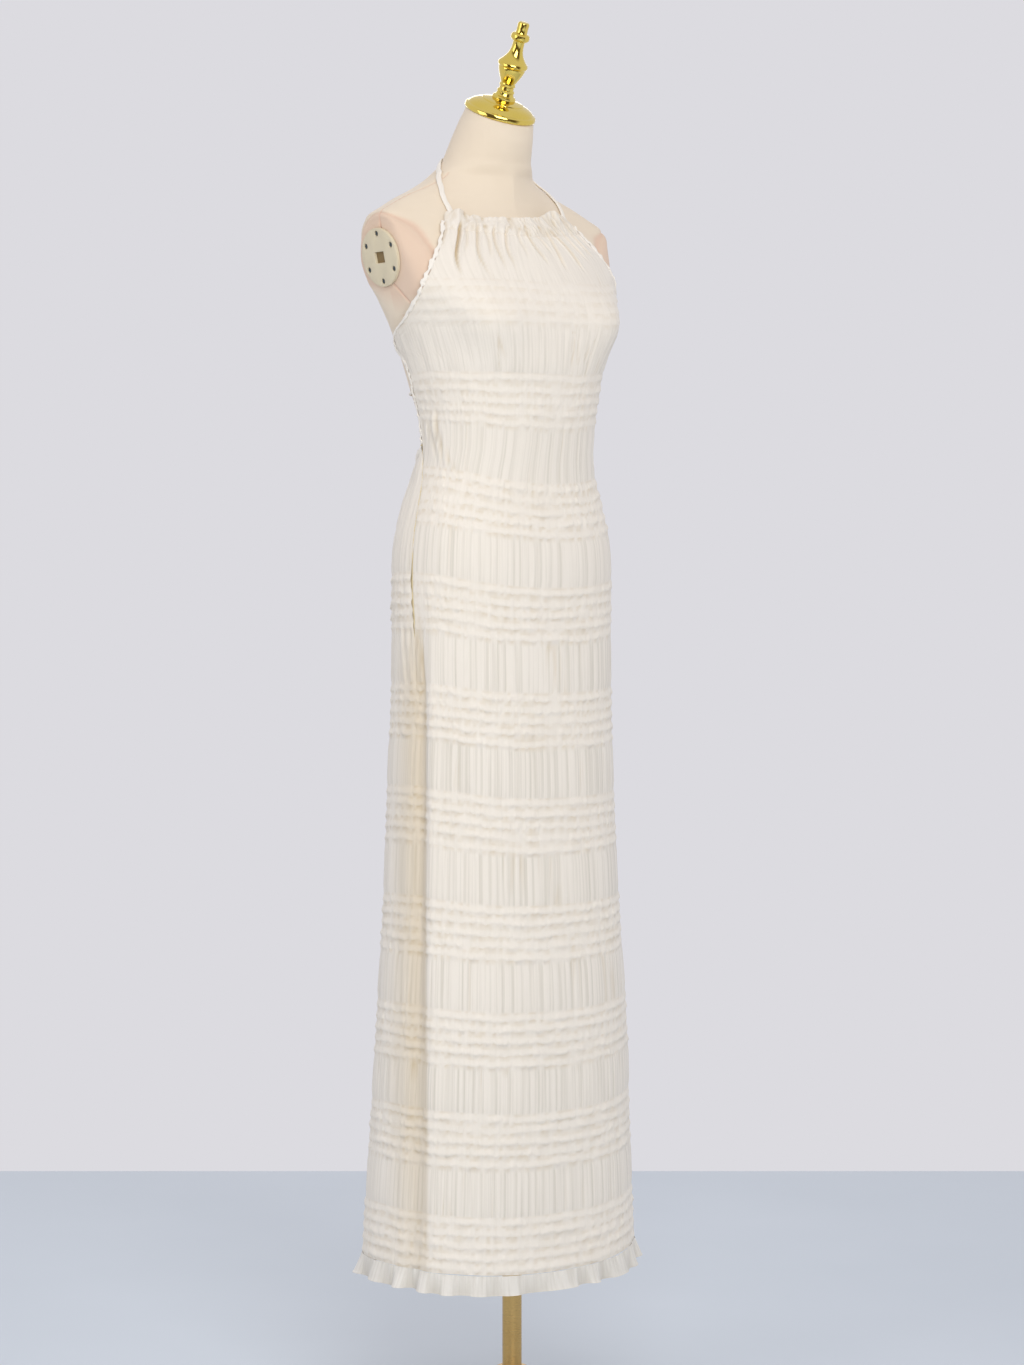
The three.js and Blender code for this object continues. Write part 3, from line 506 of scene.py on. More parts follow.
def plated_metal(name, low, high, roughness, wear):
    """Metal with slight colour drift and fine polishing marks."""
    material, tree, principled = start_material(name)
    where = add_node(tree, "TexCoord").outputs["Object"]
    drift = add_node(tree, "TexNoise", {"Vector": where, "Scale": 14.0, "Detail": 3.0})
    tint = add_node(tree, "Mix", {0: drift, 6: linear(low), 7: linear(high)}, data_type="RGBA")
    marks = add_node(tree, "Mapping", {"Vector": where, "Scale": (60, 60, 900)})
    fine = add_node(tree, "TexNoise", {"Vector": marks, "Scale": 1.0, "Detail": 3.0})
    rough = add_node(tree, "MapRange", {"Value": fine, "To Min": roughness * 0.8, "To Max": roughness * 1.25})
    bump = add_node(tree, "Bump", {"Height": fine, "Distance": 0.0001, "Strength": wear})
    set_sockets(principled, {"Base Color": tint.outputs[2], "Roughness": rough, "Normal": bump, "Metallic": 1.0})
    return material


# Electroplated and buffed, so nearly a mirror.
gold_plate = plated_metal("polished_gold_plate", "#E6C956", "#F2DB7C", 0.09, 0.04)
neck_centre = (0, float(jersey_at(NECK_TOP_Z)["mid"]), NECK_TOP_Z)
clothe(turned_piece("gold_neck_cap", CAP_PROFILE, CAP_TILT, neck_centre), gold_plate, "neck_cap")
clothe(turned_piece("gold_finial", FINIAL_PROFILE, CAP_TILT, neck_centre), gold_plate, "finial")

# Stand: a brass-finished tube with a flange under the form, in the hub of a heavy round plate.
# Only the tube shows in the photograph; the plate and hub are plain turned pieces of the same finish.
# Brass finish, brushed round and lacquered: its gloss is soft.
antique_brass = plated_metal("satin_antique_brass", "#C29E62", "#D8B87A", 0.28, 0.1)
POLE_PROFILE = [
    (0, 15.3), (12.5, 15.3), (12.5, 896), (13.5, 898.2), (44, 898.7), (45, 899.5), (45, 904), (44.3, 904.7),
    (0, 904.7),
]
BASE_PROFILE = [
    (0, 0), (163, 0), (165, 1.2), (165, 5.4), (163.6, 7.8), (160, 9), (90, 9.4), (30, 10.6), (26, 12.6), (24, 17),
    (21.6, 50), (21, 54), (20, 55), (12.8, 55), (12.8, 15), (0, 15),
]
clothe(turned_piece("brass_pole", POLE_PROFILE), antique_brass, "pole")
clothe(turned_piece("brass_base", BASE_PROFILE), antique_brass, "base")

# Front of the dress: one panel of crinkled ivory chiffon from the neck casing to the hem frill.
# It is gathered into bands of narrow tucks; each tuck is stitched along its top, and its fold stands out as a small
# ruffled edge. Between the bands the gathers fall as fine uneven pleats.
DRESS_SECTIONS = [
    # z, half width, y of the front, of the back and of the widest point, how square front and rear are
    (180, 183, -113, 161, 24, 2.3, 2.3),
    (200, 181, -112, 159, 24, 2.3, 2.3),
    (247, 178, -109, 157, 24, 2.3, 2.3),
    (360, 172, -106, 152, 22, 2.3, 2.3),
    (510, 166, -103, 143, 20, 2.3, 2.3),
    (660, 157, -95, 140, 21, 2.3, 2.3),
    (791, 152, -89, 138, 21, 2.3, 2.3),
    (941, 148, -85, 130, 19, 2.3, 2.3),
    (985, 148, -84, 128, 19, 2.3, 2.3),
    (1048, 149, -84, 127, 18.5, 2.3, 2.3),
    (1091, 148, -84, 127, 18.5, 2.3, 2.3),
    (1130, 144, -81, 123, 18.5, 2.3, 2.3),
    (1166, 135, -76, 118, 18, 2.3, 2.3),
    (1205, 123, -73, 108, 17, 2.25, 2.25),
    (1241, 117, -78, 101, 16, 2.2, 2.2),
    (1279, 120, -84, 107, 17, 2.2, 2.2),
    (1316, 128, -88, 120, 20, 2.2, 2.2),
    (1354, 137.5, -92, 129, 24, 2.2, 2.2),
    (1391, 151.5, -92, 136, 28, 2.2, 2.2),
    (1429, 168.5, -84, 140, 36, 2.2, 2.3),
    (1450, 177.5, -72, 143, 42, 2.1, 2.5),
    (1481, 185, -53.5, 144, 46, 1.9, 2.8),
    (1511, 184.5, -33.5, 140, 46, 1.55, 2.8),
    (1530, 179, -19, 132, 46, 1.35, 2.8),
    (1544, 158, -12, 129, 46, 1.3, 2.7),
    (1556, 137, -9, 127, 47, 1.25, 2.7),
]
FRONT_REACH = [
    # z, degrees round from the centre front to the seam or armhole
    (1530, 44), (1508, 43), (1481, 46), (1460, 52), (1431, 65), (1408, 78), (1386, 95), (1374, 106), (1362, 108),
    (1346, 101), (1322, 99), (1290, 101), (1260, 101), (1228, 101), (1205, 97), (1170, 91), (1120, 88), (1048, 87),
    (990, 85.5), (180, 85),
]
DRAPE = [
    # z, place of the soft ridge as a share of the reach, its height, the trough behind it, lift at the right and left
    (1530, 0.82, 0, 0, 14, 30),
    (1508, 0.82, 0, 0, 12, 28),
    (1440, 0.82, 0, 0, 1, 14),
    (1315, 0.82, 0, 0, 4, 15),
    (1258, 0.82, 0, 0, 12, 16),
    (1188, 0.82, 0, 0, 22, 17),
    (1056, 0.86, 0, 0, 20, 16),
    (930, 0.86, 3.5, 6.5, 15, 7),
    (800, 0.84, 4.5, 10, 17, 4),
    (660, 0.82, 4.5, 9, 14, 6),
    (540, 0.79, 4, 7, 11, 10),
    (400, 0.75, 3.5, 5.5, 10, 13),
    (180, 0.72, 2.5, 4, 9, 13),
]
# Heights, gaps and swings of the cloth in millimetres, and how strongly the painted shade of its troughs, seams,
# drag lines and fine lines is drawn.
CASING_FOOT_Z, YOKE_FOOT_Z, WAIST_Z = 1508, 1446, 1228
TUCK_PITCH = 14.4
SKIRT_BANDS = (1191, 1060.5, 928, 795.5, 661, 528.5, 402, 273)
ZIP_WIDTH, ZIP_FOOT_Z = 2.4, 990
SEAM_GAP, CLOTH_OUT, MM_PER_DEGREE = 0.45, 1.4, 2.9
HEM_FLARE, DRESS_CUP_RISE = 5, 18
TROUGH_SHADE_WEIGHT, SEAM_SHADE, TUCK_LINES = 0.48, 0.12, 0.14
DRAG_WIDTH, DRAG_SHADE = 4.2, 0.16
# Each band: its first stitch line, its tucks, how boldly they stand out, and the rows of points above it.
BANDS = [(1444, 4, 0.55, 20), (1328, 5, 0.8, 16)] + [(first, 5, 1.0, 5) for first in SKIRT_BANDS]
TUCK_PROFILE = [
    # share of the pitch below the stitch line, standing out in mm, how ruffled, how gathered, how shaded
    (0.00, 0.0, 0.0, 0.3, 0.2),
    (0.16, 0.6, 0.3, 0.5, 0.05),
    (0.38, 1.05, 0.8, 0.7, 0.0),
    (0.56, 1.25, 1.0, 0.8, 0.0),
    (0.68, 0.5, 0.5, 0.6, 0.26),
]
TROUGH_SHADE = [
    # z, degrees from the centre front where the trough's shade begins and ends, and its strength
    (1030, 80, 92, 0),
    (985, 78, 97, 0.8),
    (930, 76, 103, 1),
    (800, 74, 102, 1),
    (660, 71.5, 100, 1),
    (400, 66, 96, 0.9),
    (180, 63, 90, 0.6),
]

dress_at = table(("z", "half", "front", "back", "mid", "square", "rear"), DRESS_SECTIONS)
reach_at = table(("z", "reach"), FRONT_REACH)
trough_at = table(("z", "from", "to", "strength"), TROUGH_SHADE)
drape_at = table(("z", "ridge", "crest", "trough", "right", "left"), DRAPE)


def dress_point(t, z, out=0.0):
    """Points of the dress in millimetres, moved out from its inner side; the sides are lifted as the cloth hangs."""
    t = round_front(t)
    z = np.asarray(z, float)
    around = np.sin(np.radians(t))
    falls = drape_at(z)
    level = z + np.where(around < 0, falls["right"], falls["left"]) * around**2
    body = DRESS_CUP_RISE * mound(*CUP, t, level) + SHOULDER_RISE * mound(*SHOULDER, t, level)
    reach = reach_at(z)["reach"]
    ridge = bell((np.abs(t) - falls["ridge"] * reach) / 7)
    valley = bell((np.abs(t) - (falls["ridge"] + 1) / 2 * reach) / 6)
    drape = falls["crest"] * ridge - falls["trough"] * valley
    # The bust's side is a little hollow, and the hem swings out behind the right side.
    hollow = BUST_HOLLOW * mound(*CUP_SIDE, t, level)
    flare = HEM_FLARE * bell((t + 128) / 32) * ramp((720 - z) / 480)
    row = dress_at(level)
    x, y = section_point(row, t, out + body + drape - hollow + flare)
    return np.stack([x, y, row["z"]], -1)


def trough_shade(t, z):
    """How far the cloth lies in the long trough beside the soft ridge, as the strength of its painted shade; the left
    one is weaker.
    """
    t, row = round_front(t), trough_at(z)
    inner = ramp((np.abs(t) - row["from"]) / 2.5)
    outer = ramp((row["to"] - np.abs(t)) / 18)
    return row["strength"] * inner * outer * np.where(t < 0, 1.0, 0.4)


def degrees_for(length, t, z):
    """Degrees that a length takes up along a section of the dress."""
    return length / np.linalg.norm(dress_point(t + 0.5, z) - dress_point(t - 0.5, z), axis=-1)


def seam_angle(side, z, past):
    """Where a seam lies on one side, with a length past it, in degrees from the centre front."""
    reach = reach_at(z)["reach"]
    return reach + degrees_for(past, side * reach, z)


def cloth_rings(top, bands):
    """Rows of points from the top: height, standing out, ruffle, gather, shade, the tuck's number, panel share."""
    rings, above, count = [], top, 0
    for first, tucks, bold, rows in bands:
        shares = 0.5 - 0.45 * np.cos(np.pi * np.arange(rows) / (rows - 1))
        rings += [(above - s * (above - first), 0, 0, 1, 0, -1, s) for s in shares]
        for k in range(tucks):
            count += 1
            rings += [
                (first - (k + share) * TUCK_PITCH, out * bold, ruffle * bold, gather, shade * bold, count, 0)
                for share, out, ruffle, gather, shade in TUCK_PROFILE
            ]
        above = first - (tucks - 0.1) * TUCK_PITCH
    rings.append((above, 0, 0, 0.2, 0.2, count + 1, 0))
    return np.array(rings)


front_rings = cloth_rings(CASING_FOOT_Z, BANDS)
front_rings = np.vstack([[CASING_FOOT_Z + 3, 0, 0, 0.3, 0, -1, 0], front_rings])
cloth_foot = front_rings[-1][0]
YOKE_FOLDS = [
    # degrees from the centre front at the casing and at the fold's foot, height of the foot, depth, half width in mm
    (-43, -44, 1484, 2.4, 2.2),
    (-37, -39.5, 1454, 5.6, 1.9),
    (-33, -34.5, 1480, 2.0, 1.9),
    (-29.5, -27, 1452, 3.4, 1.7),
    (-25.5, -22.5, 1474, 2.0, 1.8),
    (-21.5, -18.5, 1462, 3.0, 1.7),
    (-16, -14, 1462, 2.8, 1.7),
    (-9, -6.5, 1480, 1.8, 2.0),
    (-2.5, 3, 1472, 3.2, 2.1),
    (6, 9, 1486, 1.8, 1.9),
    (14.5, 11.5, 1466, 3.4, 2.0),
    (19.5, 23, 1466, 4.0, 2.0),
    (27, 30, 1476, 2.6, 2.0),
    (34, 36.5, 1480, 3.2, 2.0),
    (40, 42.5, 1486, 1.8, 1.9),
]


def gathers(a, z, seed):
    """Fine uneven pleats that run down the cloth: height from 0 to 1, with narrow valleys between round tops."""
    wander = 1.4 * noise(a / 31, z / 70, seed + 5)
    lively = np.clip(0.5 + 0.85 * noise(a / 19, z / 90, seed + 3), 0.05, 1)
    fine = 1 - lively * (1 - np.abs(noise((a + wander) / 4.4, z / 60, seed)) ** 0.7)
    broad = 0.5 + 0.5 * noise((a + wander) / 12, z / 90, seed + 2)
    return 0.66 * fine + 0.34 * broad


def tucked_cloth(a, z, ring, seed, flat):
    """How far the tucked and gathered cloth stands out, how far it moves up or down, and how deep in folds it is, as
    painted shade.
    """
    out, ruffle, gather, shade, tuck, share = ring[:, 1], ring[:, 2], ring[:, 3], ring[:, 4], ring[:, 5], ring[:, 6]
    pleats = gathers(a, z, seed)
    soft_ends = ramp(np.minimum(share, 1 - share) / 0.16)
    height = np.where(tuck < 0, 2.0 * pleats * (0.3 + 0.7 * soft_ends), 0.75 * gather * pleats)
    lively = 0.8 + 0.6 * noise(a / 7, tuck * 1.7, seed + 11) + 0.6 * noise(a / 29, tuck * 2.61, seed + 37)
    edge = ruffle * (0.75 * noise(a / 3.1, tuck * 3.1, seed + 13) + 0.6 * noise(a / 8.3, tuck * 2.3, seed + 17))
    drop = ruffle * (1.7 * noise(a / 4.1, tuck * 5.3, seed + 19) + 1.3 * noise(a / 10, tuck * 4.1, seed + 23))
    line = np.where(tuck > 0, 1.5 * noise(a / 46, tuck * 0.83, seed + 29), 0)
    spots = np.clip(0.6 + 1.1 * noise(a / 5.2, tuck * 6.7, seed + 31), 0, 1.6)
    fold_shade = ramp(np.where(tuck < 0, 0.42 - 1.2 * pleats, shade * spots))
    return flat * (height + out * np.clip(lively, 0.15, 1.6) + edge), drop + line, fold_shade


def yoke_folds(t, z):
    """The deep folds that fan out from the casing: how far they stand out, and how deep in them a point is, as painted
    shade.
    """
    stand, fold_shade = np.zeros(len(z)), np.zeros(len(z))
    for top, foot, low, depth, width in YOKE_FOLDS:
        share = (CASING_FOOT_Z - z) / (CASING_FOOT_Z - low)
        bend = 0.5 * np.sin(share * 5 + top)
        away = (t - (top + (foot - top) * share) - bend) * MM_PER_DEGREE / width
        fade = ramp((1.1 - share) / 0.45) * ramp((1520 - z) / 9)
        stand += fade * depth * (0.5 * bell(np.abs(away) - 1.9) - bell(away))
        fold_shade = np.maximum(fold_shade, fade * bell(away) * min(1, depth / 5.6) ** 1.5)
    return stand, fold_shade


def drag_lines(t, z):
    """The soft pulled creases by the right side seam: a ridge with a trough beside it along each line, with painted
    shade in the trough.
    """
    stand, fold_shade = np.zeros(len(z)), np.zeros(len(z))
    for path, height in DRAG_LINES:
        row = table(("z", "t", "strength"), path)(z)
        away = (round_front(t) - row["t"]) * MM_PER_DEGREE / DRAG_WIDTH
        lean = row["strength"] * height
        stand += lean * (bell(away) - 0.6 * bell(away - 1.9))
        fold_shade = np.maximum(fold_shade, DRAG_SHADE * lean * bell(away - 1.9))
    return stand, fold_shade


def place_front(u, v):
    ring = front_rings[np.round(v * (len(front_rings) - 1)).astype(int)]
    z, s = ring[:, 0], 2 * u - 1
    side = np.where(s < 0, -1.0, 1.0)
    below = z < WAIST_Z
    t = s * seam_angle(side, z, np.where(below & ((s > 0) | (z < ZIP_FOOT_Z + 8)), 0.5, -SEAM_GAP / 2))
    a = t * MM_PER_DEGREE
    rim = ramp((1 - np.abs(s)) / 0.03)
    flat = np.where(below, 0.8 + 0.2 * rim, 0.25 + 0.75 * rim)
    # Beside the zip the cloth is pressed flat for the width of its seam allowance.
    by_zip = ramp((-74 - t) / 4) * ramp((z - 985) / 15) * below
    flat = flat * (1 - 0.7 * by_zip)
    stand, drop, fold_shade = tucked_cloth(a, z, ring, 1, flat)
    yoke = ramp((z - YOKE_FOOT_Z) / 14)
    stand *= 1 - 0.72 * yoke
    fold_shade *= 1 - 0.8 * yoke
    for rise, deep in (yoke_folds(t, z), drag_lines(t, z)):
        stand += rise
        fold_shade = np.maximum(fold_shade, deep)
    # Painted shade is laid in the long trough beside the ridge and along the seam's groove.
    fold_shade = ramp(fold_shade + TROUGH_SHADE_WEIGHT * trough_shade(t, z))
    seam = bell((1 - np.abs(s)) / 0.006) * below
    out = CLOTH_OUT + stand - 0.3 * seam - np.clip(z - CASING_FOOT_Z, 0, 3)
    points = dress_point(t, z, out)
    points[:, 2] += drop * rim
    panel_lines = np.interp(z, [200, 900, 1300, 1440, 1460], [1.0, 0.85, 0.6, 0.5, 0.25])
    lines = np.where(ring[:, 5] < 0, panel_lines, TUCK_LINES)
    return points, np.maximum(fold_shade, SEAM_SHADE * seam), a, lines


DRAG_LINES = [
    # points of height, degrees from the centre front and strength, then how high the ridge stands in mm
    (
        [(1285, -84, 0), (1270, -84.5, 0.6), (1253, -85.5, 1), (1236, -84, 1), (1222, -81.5, 1), (1208, -76, 0.9),
         (1193, -67, 0.5), (1182, -62, 0)],
        2.8,
    ),
    ([(1262, -93, 0), (1248, -92, 0.8), (1232, -90.5, 1), (1216, -86, 0.8), (1200, -79, 0.4), (1190, -76, 0)], 1.8),
    ([(1000, -87.5, 0), (982, -87, 1), (968, -85, 1), (955, -82.5, 1), (940, -81.5, 0.8), (900, -81, 0)], 2.0),
    ([(1000, -91, 0), (985, -91, 1), (960, -89.5, 1), (930, -88, 0.5), (905, -87.5, 0)], 1.6),
    ([(1003, -96, 0), (985, -96, 1), (955, -94, 1), (925, -93, 0.5), (900, -93, 0)], 1.6),
]


def chiffon(name, light, line, valley, crinkle):
    """Crinkled silk chiffon over a lining: matt and soft; painted shade darkens its fine gathered lines and warms its
    folds.
    """
    material, tree, principled = start_material(name)
    where = add_node(tree, "UVMap", uv_map="cloth").outputs["UV"]
    depth = add_node(tree, "Attribute", attribute_name="fold_shade")
    # The fine gathers are 3 to 4 mm wide and run down the cloth for about a hand's width.
    # Their dark lines are painted shade where the bump is low.
    run = add_node(tree, "Mapping", {"Vector": where, "Scale": (215, 9, 1)})
    density = add_node(tree, "TexNoise", {"Vector": run, "Scale": 1.0, "Detail": 3.0})
    dark = {"Value": density, "From Min": 0.3, "From Max": 0.55, "To Min": 1.0, "To Max": 0.0}
    lines = add_node(tree, "MapRange", dark)
    lined = add_node(tree, "Attribute", attribute_name="lined").outputs["Fac"]
    strength = add_node(tree, "Math", {0: lines, 1: lined}, operation="MULTIPLY")
    relief = add_node(tree, "Math", {0: lined, 1: crinkle}, operation="MULTIPLY")
    drift = add_node(tree, "TexNoise", {"Vector": where, "Scale": 9.0, "Detail": 2.0})
    tint = add_node(tree, "Mix", {0: drift, 6: linear(light[0]), 7: linear(light[1])}, data_type="RGBA")
    # Painted shade: the line colour darkens the gathers' low parts, and the valley colour the cloth's folds.
    for share, colour in ((strength, line), (depth.outputs["Fac"], valley)):
        tint = add_node(tree, "Mix", {0: share, 6: tint.outputs[2], 7: linear(colour)}, data_type="RGBA")
    gathers_bump = add_node(tree, "Bump", {"Height": density, "Distance": 0.002, "Strength": relief})
    # The real crepe is near 1 mm; it is drawn 1.8 mm wide so that it shows.
    fine = add_node(tree, "Mapping", {"Vector": where, "Scale": (560, 200, 1)})
    crepe = add_node(tree, "TexNoise", {"Vector": fine, "Scale": 1.0, "Detail": 2.0})
    bumps = {"Height": crepe, "Distance": 0.0006, "Strength": crinkle, "Normal": gathers_bump}
    bump = add_node(tree, "Bump", bumps)
    set_sockets(principled, {"Base Color": tint.outputs[2], "Normal": bump})
    set_sockets(principled, {"Roughness": 0.8, "Sheen Weight": 0.2, "Sheen Roughness": 0.5})
    return material


crinkled_chiffon = chiffon("crinkled_silk_chiffon", ("#EBE3D6", "#EEE7DC"), "#D4CDBF", "#C9B591", 0.5)
front = surface_piece("dress_front", 300, len(front_rings) - 1, place_front, (0.56, 1.3))
clothe(front, crinkled_chiffon, "front")

# Back of the dress: gathered plain cloth over the seat, open above the waist, then tucked in line with the front.
# It meets the front at the side seams; the right one holds the zip.
BACK_BINDING_WIDTH, BACK_DIP = 8, 24
PLAIN_BACK_FOOT_Z, PANEL_ABOVE = 1100, 66
back_top = WAIST_Z - SEAM_GAP / 2 - BACK_BINDING_WIDTH - SEAM_GAP


def slit(z):
    """Width of the zip's ragged opening: the cloth's edges meet over the tape, but stand apart near its foot."""
    gape = -0.25 + 1.25 * ramp((1088 - z) / 22)
    return ramp((z - ZIP_FOOT_Z + 10) / 12) * (ZIP_WIDTH + 0.9 * noise(z / 4.5, 0, 131)) * gape


def back_point(t, z, out):
    """Points of the back, whose top edge dips at the centre."""
    near = ramp((z - 1080) / (WAIST_Z - 1080))
    return dress_point(t, z - BACK_DIP * near * np.maximum(0, -np.cos(np.radians(t))), out)


lower_bands = [band for band in BANDS if band[0] < PLAIN_BACK_FOOT_Z]
plain_foot = lower_bands[0][0] + PANEL_ABOVE
plain_heights = np.linspace(back_top, plain_foot, 24)
plain_rings = [(z, 0, 0, 1, 0, -1, 0.5) for z in plain_heights[:-1]]
back_rings = np.vstack([plain_rings, cloth_rings(plain_foot, lower_bands)])


def place_back(u, v):
    ring = back_rings[np.round(v * (len(back_rings) - 1)).astype(int)]
    z = ring[:, 0]
    left = seam_angle(1.0, z, 0.2)
    right = 360 - seam_angle(-1.0, z, 0.2 + slit(z))
    t = left + (right - left) * u
    a = (t - 180) * MM_PER_DEGREE + 900
    rim = ramp(np.minimum(u, 1 - u) / 0.016)
    hem = ramp((back_top - z) / 14)
    stand, drop, fold_shade = tucked_cloth(a, z, ring, 41, (0.55 + 0.45 * rim) * (0.3 + 0.7 * hem))
    plain = ramp((z - 1085) / 30)
    stand += plain * 1.3 * noise(a / 23, z / 60, 47)
    # Painted shade is laid in the long trough beside the ridge and along the seams' grooves.
    fold_shade = ramp(fold_shade * (1 - 0.4 * plain) + TROUGH_SHADE_WEIGHT * trough_shade(t, z))
    rise, deep = drag_lines(t, z)
    stand += rise
    fold_shade = np.maximum(fold_shade, deep)
    seam = bell(np.minimum(u, 1 - u) / 0.003)
    points = back_point(t, z, CLOTH_OUT + stand - 0.3 * seam)
    points[:, 2] += drop * rim
    return points, np.maximum(fold_shade, SEAM_SHADE * seam), a, np.where(ring[:, 5] < 0, 0.7 - 0.4 * plain, TUCK_LINES)


back = surface_piece("dress_back", 300, len(back_rings) - 1, place_back, (0.54, 1.0))
clothe(back, crinkled_chiffon, "back")

# Back binding: a folded strip of the same chiffon, stitched over the back's top edge.
# Its raw edges are turned in on the inner side, and its ends are caught in the side seams.
folded_chiffon = chiffon("folded_chiffon_binding", ("#F0E9DE", "#F3EEE5"), "#DDD5C6", "#CDBB9B", 0.35)


def rolled_strip(name, node, steps, path, half, thick, ruffle, seed, round_steps):
    """A strip of cloth rolled so that its edges meet on the inner side, laid along the path of directions().

    Half its width and its thickness are in millimetres.
    """
    middle, wide, outward, length = path

    def place(u, v):
        k = np.round(v * steps).astype(int)
        angle = 2 * np.pi * (u - 0.25)
        here = length * v
        width = half * (1 + ruffle * 0.35 * noise(here / 4.1, 0, seed))
        lift = thick / 2 * (1 + ruffle * 0.4 * noise(here / 3.3, 4, seed))
        across = np.sign(np.cos(angle)) * np.abs(np.cos(angle)) ** 0.8 * width
        up = np.sin(angle) * lift + thick / 2
        shift = ruffle * 0.7 * noise(here / 5.7, 9, seed)
        points = middle[k] + wide[k] * (across + shift)[:, None] + outward[k] * up[:, None]
        # The strip's underside, towards the form, gets painted shade.
        return points, 0.4 * ramp(0.3 - np.sin(angle)), None, 0.2

    strip = surface_piece(name, round_steps, steps, place, (2 * np.pi * half * MM, length * MM))
    clothe(strip, folded_chiffon, node)


def directions(middle, outside):
    """A strip's directions from its middle line and points just outside it: across, outward and its length."""
    run = np.gradient(middle, axis=0)
    outward = outside - middle
    outward /= np.linalg.norm(outward, axis=1)[:, None]
    wide = np.cross(run, outward)
    wide /= np.linalg.norm(wide, axis=1)[:, None]
    return middle, wide, outward, float(np.linalg.norm(np.diff(middle, axis=0), axis=1).sum())


steps = 260
share = np.linspace(0, 1, steps + 1)
binding_z = np.full(steps + 1, WAIST_Z - SEAM_GAP / 2 - BACK_BINDING_WIDTH / 2)
from_t = seam_angle(1.0, binding_z, SEAM_GAP / 2)
to_t = 360 - seam_angle(-1.0, binding_z, SEAM_GAP / 2 + slit(binding_z))
t = from_t + (to_t - from_t) * share
path = directions(back_point(t, binding_z, 0.2), back_point(t, binding_z, 3.0))
rolled_strip("back_top_binding", "back_binding", steps, path, 3.9, 2.4, 0.5, 61, 16)

# Hem frills: a short frill of single chiffon below the last band, front and back, gathered where it is sewn on.
# Each has a narrow rolled hem, and swings out in uneven flutes.
HEM_Z = 178
FLUTES, FLUTE_DEPTH = 11, 6
# Its greyer colours are painted shade: the shade behind the frill seen through its single layer.
see_through_shade_chiffon = chiffon("single_silk_chiffon_with_painted_shade", ("#E4E0D8", "#EAE6DE"), "#D2CDC3", "#C4BDAF", 0.4)


def hem_frill(name, node, start, stop, seed):
    """A frill from one side seam to the other, sewn to the panel that carries it."""
    top = cloth_foot - SEAM_GAP

    def place(u, v):
        t = start + (stop - start) * u
        phase = u * FLUTES
        swing = np.sin(2 * np.pi * (phase + 0.3 * noise(phase * 0.9, 0, seed)))
        swing = np.sign(swing) * np.abs(swing) ** 0.65 * (0.75 + 0.35 * noise(phase / 1.3, 3, seed))
        crimp = np.abs(noise(u * 560 / 4.2, 0, seed + 7))
        z = top - v * (top - HEM_Z - 3 * (0.5 + 0.5 * noise(phase * 1.1, 8, seed)))
        out = 1.2 + FLUTE_DEPTH * (0.8 * v + swing * (0.08 + 0.92 * v**1.3)) + (1 - v) * 1.6 * crimp
        roll = np.where(v > 0.955, 0.5, 0.0)
        # Painted shade lies in the flutes' hollows and in the crimps by the seam.
        fold_shade = ramp(0.42 * (1 - swing) * v + 0.35 * (1 - crimp) * (1 - v) ** 2)
        return dress_point(t, z, out + roll), fold_shade, t * MM_PER_DEGREE, 0.8

    frill = surface_piece(name, 440, 24, place, (0.62, 0.034))
    clothe(frill, see_through_shade_chiffon, node)


right_edge, left_edge = (seam_angle(side, cloth_foot, -SEAM_GAP / 2) for side in (-1.0, 1.0))
hem_frill("hem_frill_of_front", "hem_frill_front", -right_edge, left_edge, 71)
right_edge, left_edge = (seam_angle(side, cloth_foot, SEAM_GAP / 2) for side in (-1.0, 1.0))
hem_frill("hem_frill_of_back", "hem_frill_back", left_edge, 360 - right_edge, 83)

# Neck casing: the front's top edge turned into a tube for the strap and drawn up, so that it puckers.
# Above the tube the turned edge stands as a small frill.
CASING_TOP_Z, CASING_LOW_Z = 1530, 1504
CASING_RINGS = table(
    ("z", "out", "pucker"),
    [(1504, -1.0, 0), (1506.5, 1.0, 0.3), (1509, 2.4, 0.8), (1512, 3.6, 1.3), (1516, 4.4, 1.5), (1520, 4.2, 1.4),
     (1523, 3.2, 1.2), (1526, 2.6, 1.6), (1530, 2.8, 2.2)],
)
CASING_TOP_EDGE = [
    # degrees from the centre front, height
    (-44, 1529), (-41, 1531), (-38, 1533.5), (-35.5, 1531), (-33.5, 1526), (-31.5, 1529), (-29, 1528), (-26.5, 1526.5),
    (-20, 1528.5), (-10, 1530.5), (0, 1532), (18, 1532), (22, 1534), (26, 1537.5), (32, 1538), (36, 1534), (40, 1530),
    (44, 1529),
]
CASING_LUMPS = [
    # degrees from the centre front, height, half width across and up in mm, how far it stands out
    (-38.5, 1524, 7.5, 8, 3.6),
    (-31, 1519, 6.5, 7, 2.8),
    (-26, 1514, 3.5, 3, -1.8),
    (-20, 1513, 6, 5, 1.2),
    (-14, 1516, 3, 2.4, -1.6),
    (-8, 1515, 3, 2.4, -1.6),
    (-3, 1518, 3, 2.4, -1.4),
    (6, 1516, 5, 4, 1.2),
    (12, 1518, 3, 2.4, -1.4),
    (20, 1516, 5, 4, 1.4),
    (30, 1527, 8, 8, 5.2),
    (37, 1518, 5, 6, 2.0),
    (-35, 1528, 1.8, 4, -3.0),
    (-27, 1527, 1.8, 3.5, -2.6),
    (-12, 1529, 2.4, 3, -2.2),
    (17, 1529, 2.2, 4, -2.8),
    (25.5, 1521, 2.4, 5, -2.2),
    (35.5, 1526, 2.2, 5, -2.4),
]


